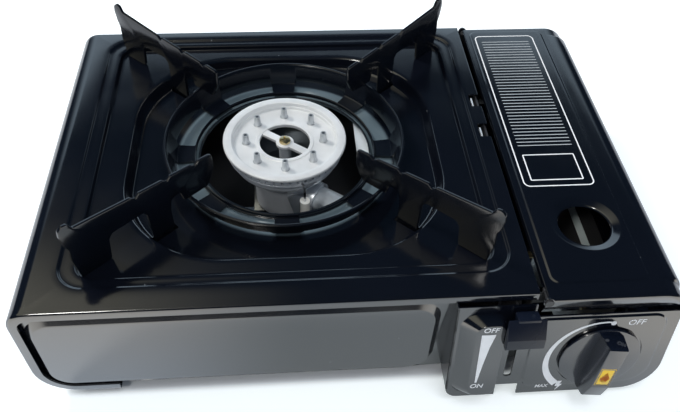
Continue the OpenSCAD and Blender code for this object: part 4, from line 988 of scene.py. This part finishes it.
def repeatTree(kind):
    name = "repeat_" + kind
    if name in bpy.data.node_groups:
        return bpy.data.node_groups[name]
    tree = bpy.data.node_groups.new(name, "GeometryNodeTree")
    for label, form in treeInputs["all"] + treeInputs[kind]:
        tree.interface.new_socket(label, in_out="INPUT", socket_type="NodeSocket" + form)
    tree.interface.new_socket("Geometry", in_out="OUTPUT", socket_type="NodeSocketGeometry")

    def add(kind, inputs={}, out=0, **settings):
        return nodeIn(tree, kind, inputs, **settings).outputs[out]
    given = tree.nodes.new("NodeGroupInput").outputs
    item = add("GeometryNodeObjectInfo", {"As Instance": True, "Object": given["Item"]}, "Geometry")
    # a random turn about each item's own Z
    back = mathIn(tree, "MULTIPLY", given["Random Turn"], -1)
    chance = {2: back, 3: given["Random Turn"], "Seed": given["Seed"]}
    turn = add("ShaderNodeCombineXYZ", {"Z": add("FunctionNodeRandomValue", chance, 1, data_type="FLOAT")})
    turn = add("FunctionNodeEulerToRotation", {0: turn})
    points = given["Geometry"]
    if kind == "circle":
        ring = {"Vertices": given["Count"], "Radius": given["Radius"]}
        points = add("GeometryNodeMeshCircle", ring, "Mesh")
        outward = {"Vector": add("GeometryNodeInputPosition")}
        outward = add("FunctionNodeAlignRotationToVector", outward, axis="X")
        turn = {"Rotation": outward, "Rotate By": turn}
        turn = add("FunctionNodeRotateRotation", turn, rotation_space="LOCAL")
    elif kind == "row":
        line = {"Count": given["Count"], "Start Location": given["First"], "Offset": given["Step"]}
        points = add("GeometryNodeMeshLine", line, "Mesh", mode="OFFSET")
    placed = add("GeometryNodeInstanceOnPoints", {"Points": points, "Instance": item, "Rotation": turn})
    if kind == "circle":
        start = add("ShaderNodeCombineXYZ", {"Z": given["Start"]})
        placed = add("GeometryNodeTransform", {"Geometry": placed, "Rotation": start})
    placed = {"Geometry": add("GeometryNodeRealizeInstances", {0: placed}), "Material": given["Finish"]}
    nodeIn(tree, "NodeGroupOutput", {0: add("GeometryNodeSetMaterial", placed)})
    return tree


def repeated(name, kind, item, finish, points=(), **values):
    # sizes in millimetres, turned into metres here
    mesh = bpy.data.meshes.new(name)
    mesh.from_pydata([(x / 1000, y / 1000, z / 1000) for x, y, z in points], [], [])
    host = link(name, mesh)
    tree = repeatTree(kind)
    ids = {s.name: s.identifier for s in tree.interface.items_tree if s.in_out == "INPUT"}
    repeat = host.modifiers.new("repeat", "NODES")
    repeat.node_group = tree
    for key, value in {"Item": item, "Finish": finish, "Seed": 7, "Random Turn": 0.0, **values}.items():
        if key == "Radius":
            value = value / 1000
        if key in ("First", "Step"):
            value = [v / 1000 for v in value]
        repeat[ids[key]] = value
    host = bake(host)
    bpy.data.objects.remove(item)
    return host


def softened(node, width, finish=None):
    # a copy of a construction piece with its edges broken
    part = next(p for p in frame["record"]["subparts"] if p["node"] == node)
    name = camel(node) + "Soft"
    mesh = nodeOf[node].data.copy()
    mesh.name = name
    mesh.materials.clear()
    shape = bmesh.new()
    shape.from_mesh(mesh)
    bmesh.ops.remove_doubles(shape, verts=shape.verts, dist=1e-6)
    bmesh.ops.dissolve_limit(shape, angle_limit=math.radians(1), verts=shape.verts, edges=shape.edges)
    shape.to_mesh(mesh)
    shape.free()
    piece = bevelled(link(name, mesh), width, 2, 35)
    return dress(piece, body_of(nodeOf[node])[0], part["material_slot"], finish, (node,))


# pan support

panRing = {"collar": 54.5, "bead": 73.0, "top": 3.5, "low": -9.5, "sheet": 1.2, "beadRadius": 1.05,
           "slots": 8, "slotSpan": 38.0, "slotIn": 1.6, "slotWidth": 12.0}


def slotTool(r1, r2, span, z1, z2, steps=12):
    # a curved slot with round ends, centred on the X axis
    middle, half = (r1 + r2) / 2, (r2 - r1) / 2
    reach = math.radians(span / 2) - half * 0.6 / middle
    path = [(r2, a) for a in spread(-reach, reach, steps)] + [(r1, a) for a in spread(reach, -reach, steps)]
    outline = [(r * math.cos(a), r * math.sin(a)) for r, a in path]
    end, flat = [half * 0.55], [0] * (steps - 1)
    return prism("slotTool", loopOf(outline, end + flat + end * 2 + flat + end, 4), z1, z2)


def makePanRing(s):
    half, top, bead = s["sheet"] / 2, s["top"], s["bead"]
    path = rounded([(s["collar"] + half, s["low"] + 1.4), (s["collar"] + half, s["low"] - half),
                    (bead - 6.4, s["low"] - half), (bead - 1.6, top - 1.0), (bead - 0.9, top - half)],
                   [0.9, 1.8, 1.0], 6)
    path = path[:-1] + [(bead - 1.15, top - half - 0.35), (bead - half, top - half - 0.1)]
    ring = turned("panRing", ribbon(path, s["sheet"]), 160)
    r = s["beadRadius"]
    turns = [2 * math.pi * i / 12 for i in range(12)]
    lip = turned("panRingBead", [(bead - r + r * math.cos(a), top - r + r * math.sin(a)) for a in turns], 160)
    first = s["collar"] + s["slotIn"]
    tool = moved(slotTool(first, first + s["slotWidth"], s["slotSpan"], -16, -3.5), -s["collar"])
    tools = repeated("slotTools", "circle", tool, finishOf["satin_black_enamel"], Count=s["slots"],
                     Radius=s["collar"], Start=math.radians(22.5))
    return toBurner(joined("panRing", [cut(ring, tools), lip]), stove["top"])


dress(makePanRing(panRing), "pan_support", "satin_black_enamel", nodes=("pan_ring",))

armShape = {"reach": 147.03, "high": 36.0, "leg": 85.5, "legWidth": 13.5, "foot": -3.8, "dish": -16.0,
            "sheet": 2.0, "notches": (-19.5, -1.0, 18.5), "notchDepth": 2.2}


def armOutline(s):
    # drawn as (distance from the burner's axis, height over the top sheet)
    r, h, g, w = s["reach"], s["high"], s["leg"], s["legWidth"]
    foot, dish, d = s["foot"], s["dish"], s["notchDepth"]
    top = [(54.5, h - 11.5)]
    for step in s["notches"]:
        x = g + step
        y = h - 11.5 + (x - 54.5) * 3.5 / (r - 40 - 54.5)
        top += [(x - d * 1.1, y), (x, y - d), (x + d * 1.1, y)]
    top += [(r - 40, h - 8), (r - 8, h - 4.5), (r - 6, h - 0.5), (r - 3, h), (r - 0.5, h - 2)]
    side = [(r, h - 6), (r - 1, h - 13), (r - 2.5, h - 17), (r - 2, 10), (r - 4, foot), (r - 22, foot),
            (r - 23.5, 10), (r - 26, 13), (g + w + 3, 13), (g + w + 1, 10), (g + w, dish + 3),
            (g + w - 2, dish), (g + 2, dish), (g, dish + 3), (g, 3), (g - 1.5, 11),
            (78, 11), (76, 3.6), (60, 3.6), (57.5, 7.6), (54.5, 14)]
    radii = [2.0] + [0.5] * 9 + [2, 1.5, 1.2, 1.6, 2]
    radii += [2, 3, 3, 4, 1.5, 1.5, 1.5, 2, 2, 1.5, 1.5, 1.5, 1.5, 1.5, 3, 3, 1.2, 1.0, 1.0, 1.5, 2]
    return loopOf(top + side, radii, 3)


for node, angle in armAngles.items():
    half = armShape["sheet"] / 2
    arm = prism(camel(node), armOutline(armShape), -half, half, lambda x, y, z: (x, z, y))
    arm = bevelled(toBurner(arm, stove["top"], turnBy(angle)), 0.45, 2, 50)
    dress(arm, "pan_support", "satin_black_enamel", nodes=(node,))
print("pan support: done")

# burner

burner = {
    "radius": 37.5, "top": 84.0, "rim": 5.5, "dish": 4.0, "hole": 15.4, "hub": 5.5, "bar": 5.0,
    "barAngle": -37.0, "posts": 8, "postCircle": 23.6, "postHigh": 86.5, "cup": 33.0, "chamber": 20.0,
    "cupTop": 77.0, "cupLow": 31.5, "ports": 48, "portRadius": 35.5, "portSize": (1.4, 3.0),
}


def makeBurnerHead(s):
    r, top, hole, high = s["radius"], s["top"], s["hole"], s["postHigh"]
    floor, rim = top - s["dish"], r - s["rim"]
    outline = loopOf([
        (hole, floor - 2), (hole, floor + 0.5), (hole + 2.2, floor + 0.5), (hole + 2.6, floor),
        (rim - 1.4, floor), (rim - 0.8, floor + 1.6), (rim - 0.2, floor + 1.6), (rim + 0.3, top), (r, top),
        (r, top - 2), (r - 4.8, top - 2), (r - 5.4, floor - 2)],
        [0.3, 0.25, 0.25, 0.2, 0.5, 0.3, 0.3, 0.6, 0.8, 0.4, 0.3, 0.4], 3)
    hub = loopOf([(0.01, floor - 2), (0.01, floor + 0.3), (s["hub"], floor + 0.3), (s["hub"], floor - 2)],
                 [0, 0, 0.5, 0.4], 3)
    half, reach = s["bar"] / 2, hole + 1.0
    bar = bevelled(boxPiece("headBar", -reach, reach, -half, half, floor - 2, floor + 0.25), 0.35, 2)
    parts = [turned("headPlate", outline, 144), turned("headHub", hub, 48),
             moved(bar, turn=turnBy(s["barAngle"]))]
    for part in parts:
        paint(part, turnedAluminium)
    post = [(1.0, floor - 1), (1.0, high), (1.75, high), (2.1, floor + 0.6), (2.7, floor), (2.7, floor - 1)]
    post = loopOf(post, [0, 0.12, 0.2, 0.5, 0.4, 0], 3)
    # painted shade: a dark disc a little way down each post's bore
    bore = [(0.001, high - 0.9), (1.02, high - 0.9), (1.02, high - 0.4), (0.001, high - 0.4)]
    ring = {"Count": s["posts"], "Radius": s["postCircle"], "Start": 0.0}
    parts.append(repeated("headPosts", "circle", turned("post", post, 32), shadedPostAluminium, **ring))
    parts.append(repeated("headBores", "circle", turned("bore", bore, 16), shadeDarkAluminium, **ring))
    return toBurner(joined("burnerHeadTurned", parts))


dress(makeBurnerHead(burner), "casing", "bright_aluminium", turnedAluminium, ("burner_head",))


def makePortRing(s):
    r, (w, h) = s["portRadius"], s["portSize"]
    low, high = s["cupTop"] + 0.05, s["top"] - 2.05
    ring = loopOf([(r - 2.6, low), (r - 2.6, high), (r, high), (r, low)], 0.2, 2)
    ring = turned("portRingTurned", ring, 192)
    tool = boxPiece("portTool", -4, 2, -w / 2, w / 2, s["cupTop"] + 1, s["cupTop"] + 1 + h)
    tools = repeated("portTools", "circle", tool, drawnAluminium, Count=s["ports"], Radius=r,
                     Start=math.radians(180 / s["ports"]))
    return toBurner(cut(ring, tools))


dress(makePortRing(burner), "casing", "bright_aluminium", drawnAluminium, ("port_ring",))


def makeCup(s):
    c, k, z, low = s["cup"], s["chamber"], s["cupTop"], s["cupLow"]
    outline = loopOf([
        (0.01, low), (k, low), (k, 56), (c, 70), (c, z - 1.6), (c + 2.4, z - 1.6), (c + 2.4, z - 0.05),
        (c - 1.5, z - 0.05), (c - 1.5, 71), (k - 1.5, 57), (k - 1.5, low + 1.5), (0.01, low + 1.5)],
        [0, 2.5, 2.5, 4.0, 0.8, 0.5, 0.4, 0.5, 3, 1.5, 1.5, 0], 5)
    cup = turned("burnerCup", outline, 128)
    core = turned("cupCore", [(0.01, low + 1), (3.8, low + 1), (3.8, 77.8), (0.01, 77.8)], 32)
    neck = turned("cupNeck", loopOf([(8.6, 17), (10.5, 17), (10.5, 26), (8.6, 26)], 0.4, 2), 48)
    moved(neck, 0, 0, stove["tubeHeight"], turnBy(stove["tubeAngle"]) @ turnBy(90, "Y"))
    for part in (cup, core, neck):
        paint(part, drawnAluminium, shadeDarkAluminium)
    # painted shade: the inside of the cup gets the dark finish
    for face in cup.data.polygons:
        x, y, z = face.center
        if face.normal.dot(Vector((x, y, 0))) < -1e-4 or (face.normal.z > 0.5 and z < 0.06):
            face.material_index = 1
    return toBurner(joined("burnerCup", [cup, core, neck]))


dress(makeCup(burner), "casing", "bright_aluminium", drawnAluminium, ("burner_base",))

tube = {"radius": 8.5, "wall": 1.2, "flare": 4.0, "start": 21.5, "end": 129.5}


def makeTube(s):
    r, end = s["radius"] - s["wall"] / 2, s["end"]
    wide = r + s["flare"]
    path = rounded([(r, s["start"]), (r, end - 16), (wide - 0.3, end - 1), (wide, end - 0.6)], [14, 1], 8)
    piece = turned("mixingTubeDrawn", ribbon(path, s["wall"]), 64)
    return toBurner(piece, stove["tubeHeight"], turnBy(stove["tubeAngle"]) @ turnBy(90, "Y"))


dress(makeTube(tube), "casing", "bright_aluminium", nodes=("mixing_tube",))

screw = {"radius": 3.5, "low": 80.3, "high": 82.2, "slot": 1.0, "slotAngles": (8, 98)}


def makeBurnerScrew(s):
    r, low, high, half = s["radius"], s["low"], s["high"], s["slot"] / 2
    outline = loopOf([(0.01, 67), (0.01, high), (r, high - 0.2), (r, low), (1.8, low), (1.8, 67)],
                     [0, 0, 0.6, 0.2, 0, 0], 4)
    head = turned("burnerScrewHead", outline, 48)
    for angle in s["slotAngles"]:
        slot = boxPiece("slotTool", -2.4, 2.4, -half, half, high - 1.0, high + 2)
        head = cut(head, moved(slot, turn=turnBy(angle)))
    return toBurner(head)


dress(makeBurnerScrew(screw), "casing", "brass", nodes=("burner_screw",))
print("burner: done")

# knob

knob = {"x": 135.0, "s": -48.741, "radius": 22.5, "lift": 2.7, "skirt": 1.4, "high": 15.0, "grip": 10.5,
        "flare": 1.5, "low": -22.0, "up": 19.0, "tilt": -7.5, "slope": 11.0, "bore": 12.0,
        "insert": (-9.2, 8.6, 13.4)}


def makeKnob(s):
    lift, r = s["lift"], s["radius"]
    low, high, top = lift + 1, s["high"], lift + s["skirt"]
    skirt = loopOf([(3.1, lift), (3.1, top), (r, top), (r, lift)], [0.2, 0.2, 0.5, 0.2], 4)
    skirt = turned("knobSkirt", skirt, 128)
    y1, y2 = s["low"], s["up"]
    side = loopOf([(y1, low), (y1, high - 3), (y1 + s["slope"], high), (y2, high), (y2, low)],
                  [0.3, 2.0, 3.0, 0.9, 0.3], 6)

    def wide(x, y, z):
        # wider at the skirt
        return z * (s["grip"] / 2 + s["flare"] * (high - y) / (high - low)), x, y
    grip = bevelled(prism("knobGrip", side, -1, 1, wide), 0.7, 3, 50)
    y1, w, l = s["insert"]
    x2 = w / 2 + 0.02
    grip = cut(grip, boxPiece("seatTool", -x2, x2, y1 - 0.02, y1 + l + 0.02, high - 0.6, high + 2))
    grip = cut(moved(grip, turn=turnBy(s["tilt"])), drum("boreTool", 3.02, -2, s["bore"]))
    return moved(joined("knobMoulded", [skirt, grip]), turn=frontMatrix(s["x"], s["s"]))


dress(makeKnob(knob), "knob", "black_plastic", nodes=("knob",))


def makeInsert(s):
    # a plain plate with a drop-shaped flame
    high = s["high"]
    y1, w, l = s["insert"]
    w, y2 = w / 2, y1 + l
    plate = bevelled(boxPiece("insertPlate", -w, w, y1, y2, high - 0.58, high), 0.3, 2)
    box = (-w, w, y1, y2)
    edge = band("insertEdge", cornerLoop(*inset(box, 0.3), 0.6), cornerLoop(*inset(box, 0.8), 0.4),
                high - 0.02, high + 0.02)
    flame, middle = [], y1 + l / 2
    for i in range(24):
        a = 2 * math.pi * i / 24
        c = max(math.cos(a), 0)
        flame.append((2.7 * math.sin(a) * (1 - 0.45 * c), middle - 0.9 + 3.1 * math.cos(a) + 1.5 * c ** 4))
    drop = prism("insertFlame", flame, high - 0.03, high)
    parts = [paint(plate, finishOf["yellow_plastic"]), paint(edge, finishOf["black_plastic"]),
             paint(drop, orangeInk)]
    piece = moved(joined("knobInsertPlate", parts), turn=turnBy(s["tilt"]))
    return moved(piece, turn=frontMatrix(s["x"], s["s"]))


dress(makeInsert(knob), "knob", "yellow_plastic", nodes=("knob_insert",))
print("knob: done")

# lever

lever = {"head": (76.8, 96.8), "neck": (81.8, 93.8), "high": -10.0, "low": -29.0, "out": 13.0, "under": 8.5}


def makeLeverKnob(s):
    # a head over the ridge and a neck beside it, drawn as (distance out, height up the face)
    out, under, low, high = s["out"], s["under"], s["low"], s["high"]
    head = loopOf([(under, high), (under + 0.4, high), (out, low + 8), (out, low + 1.5), (out - 1.5, low),
                   (under, low)], [0.3, 0.5, 1.2, 0.8, 0.8, 0.3], 5)
    neck = [(2.5, low), (9.5, low), (9.5, high), (2.5, high)]
    parts = []
    for name, outline, ends, edge, steps in (("leverHead", head, s["head"], 0.7, 3),
                                             ("leverNeck", neck, s["neck"], 0.5, 2)):
        part = prism(name, outline, *ends, lambda d, h, x: onFace(x, h, -d))
        parts.append(paint(bevelled(part, edge, steps, 50), leverPlastic))
    return joined("leverKnobMoulded", parts)


dress(makeLeverKnob(lever), "lever", "black_plastic", nodes=("lever_knob",))
print("lever: done")

# edges of the remaining pieces

edgeWidths = {
    "bottom_tray": 0.35, "back_panel": 0.3, "partition": 0.3, "cartridge_cradle": 0.3, "guide_rail": 0.2,
    "push_strip": 0.25, "lever_plate": 0.25, "lever_guide": 0.25, "regulator_body": 0.5, "regulator_cap": 0.5,
    "regulator_bracket": 0.3, "valve_gland": 0.3, "igniter": 0.5, "electrode_bracket": 0.2, "injector": 0.25,
    "burner_bracket": 0.25, "heat_plate": 0.25, "inlet_seal": 0.3,
}
# the guide rail's pale paint is painted light, standing in for the bright bar seen through the window
ownFinish = {"lever_plate": finishOf["satin_black_steel"], "partition": finishOf["satin_black_steel"],
             "guide_rail": litRailPaint}
for node, width in edgeWidths.items():
    softened(node, width, ownFinish.get(node))
print("edges: done")

# feet and screws

feet = {"radius": 8.0, "low": 7.2, "high": stove["foot"], "x": 149, "inset": 14}
places = [(x, y, 0) for x in (-feet["x"], feet["x"]) for y in (near + feet["inset"], far - feet["inset"])]
foot = loopOf([(0.01, 0), (feet["low"], 0), (feet["radius"], feet["high"]), (3.5, feet["high"]), (3.5, 6.4),
               (0.01, 6.4)], [0, 1.2, 0.4, 0, 0.4, 0], 4)
foot = turned("foot", foot, 48)
dress(repeated("rubberFeetMoulded", "points", foot, finishOf["black_rubber"], points=places),
      "casing", "black_rubber", nodes=("rubber_feet",))

backScrews = {"radius": 3.0, "high": 1.2, "shank": 1.5, "length": 4.9, "x": (-155, 80), "z": (30, 62)}


def crossHead(name, s):
    # a pan head with a cross recess, head up along Z
    r, high, shank, length = s["radius"], s["high"], s["shank"], s["length"]
    outline = [(0.01, -length), (0.01, high), (r * 0.55, high), (r, high * 0.35), (r, 0), (shank, 0),
               (shank, -length)]
    head = turned(name, loopOf(outline, [0, 0, high * 0.9, 0.3, 0.1, 0, 0.2], 4), 32)
    for angle in (0, 90):
        tool = boxPiece("crossTool", -r * 0.5, r * 0.5, -0.35, 0.35, high * 0.35, high + 1)
        head = cut(head, moved(tool, turn=turnBy(angle)))
    return head


backScrew = moved(crossHead("backScrew", backScrews), turn=turnBy(-90, "X"))
places = [(x, far - 2.5, z) for z in backScrews["z"] for x in backScrews["x"]]
dress(repeated("panelScrewsCrossHead", "points", backScrew, finishOf["zinc_steel"], points=places),
      "casing", "zinc_steel", nodes=("panel_screws",))
print("small pieces: done")

# marks on the controls: plain words, a wedge, an arc and a bolt

marks = {
    "thick": 0.06, "ridgeDepth": -8.0, "fieldDepth": -2.1,
    "ridgeWords": {"wordOff": ("OFF", 4.6, 68.9, -17.6), "wordOn": ("ON", 4.6, 66.6, -61.9)},
    "fieldWords": {"wordMax": ("MAX", 3.4, 106.8, -72.3), "wordOffDial": ("OFF", 5.4, 149.8, -22.9)},
    "wedge": [(-3.9, 19), (3.7, 19), (1.5, 9), (-0.4, -5), (-1.9, -19), (-2.9, -19), (-3.3, -5), (-3.6, 9)],
    "wedgePlace": (68.3, -39.8),
    "bolt": [(-1.2, 3.6), (1.6, 3.6), (0.5, 0.8), (2.2, 0.8), (-1.4, -4.2), (-0.3, -0.8), (-2.0, -0.8)],
    "boltPlace": (116.9, -72.2), "arcRadius": 29.6, "arcAngles": (86, 226), "arcWidth": (0.9, 3.6),
    "arcPlace": (knob["x"] - 1.2, knob["s"] - 2.2), "dotPlace": (knob["x"] + 2.3, knob["s"] + 26.0),
    "dotRadius": 1.5,
}


def words(name, text, size, place):
    curve = bpy.data.curves.new(name, "FONT")
    curve.body = text
    curve.size = size / 1000
    curve.align_x = "CENTER"
    curve.align_y = "CENTER"
    curve.extrude = 0.00003
    curve.offset = 0.00004
    curve.shear = 0.18
    piece = bake(link(name, curve), 60)
    for vertex in piece.data.vertices:
        vertex.co = Vector(place(*(1000 * c for c in vertex.co))) / 1000
    return piece


def faceMark(x0, s0, depth):
    return lambda x, y, z: onFace(x0 + x, s0 + y, depth - 0.05 - z)


def makeMarks(s):
    high, ridge, field = s["thick"], s["ridgeDepth"], s["fieldDepth"]
    parts = [words(name, text, size, faceMark(*place, ridge))
             for name, (text, size, *place) in s["ridgeWords"].items()]
    parts.append(prism("wedge", s["wedge"], 0, high, faceMark(*s["wedgePlace"], ridge)))
    parts += [words(name, text, size, faceMark(*place, field))
              for name, (text, size, *place) in s["fieldWords"].items()]
    parts.append(prism("bolt", s["bolt"], 0, high, faceMark(*s["boltPlace"], field)))
    outer, inner = [], []
    r, (start, grow) = s["arcRadius"], s["arcWidth"]
    for i, angle in enumerate(spread(*s["arcAngles"], 60)):
        a = math.radians(angle)
        width = start + grow * (i / 60) ** 1.3
        outer.append((r * math.cos(a), r * math.sin(a)))
        inner.append(((r - width) * math.cos(a), (r - width) * math.sin(a)))
    parts.append(prism("dialArc", outer + inner[::-1], 0, high, faceMark(*s["arcPlace"], field)))
    r, turns = s["dotRadius"], [2 * math.pi * i / 24 for i in range(24)]
    dot = [(r * math.cos(a), r * math.sin(a)) for a in turns]
    parts.append(prism("dialDot", dot, 0, high, faceMark(*s["dotPlace"], field)))
    for part in parts:
        part.data.materials.clear()
        paint(part, whiteInk)
    return joined("controlMarks", parts)


dress(makeMarks(marks), "casing", "gloss_black_paint", whiteInk)

# plain frame and pinstripes on the lid

lidMarks = {"frame": (104.1, 146.6, near + 74.6, far - 12.6), "corner": 4.0, "line": 0.75, "stripes": 36,
            "pitch": 3.1, "stripe": (34.0, 0.55), "box": (109.0, 141.0, near + 79.5, near + 101.5),
            "boxCorners": (0.8, 0.3), "first": near + 109.5, "thick": 0.06}


def makeLidMarks(s):
    parts = []
    low, high = stove["top"] + 0.01, stove["top"] + s["thick"]
    for box, corners in ((s["frame"], (s["corner"], s["corner"] - s["line"])), (s["box"], s["boxCorners"])):
        inner = cornerLoop(*inset(box, s["line"]), corners[1])
        parts.append(paint(band("lidFrame", cornerLoop(*box, corners[0]), inner, low, high), whiteInk))
    x, y = (c / 2 for c in s["stripe"])
    middle = (s["frame"][0] + s["frame"][1]) / 2
    parts.append(repeated("stripes", "row", boxPiece("stripe", -x, x, -y, y, low, high), greyInk,
                          Count=s["stripes"], First=(middle, s["first"], 0), Step=(0, s["pitch"], 0)))
    return joined("lidFrameMarks", parts)


dress(makeLidMarks(lidMarks), "lid", "gloss_black_paint", whiteInk)
print("marks: done")
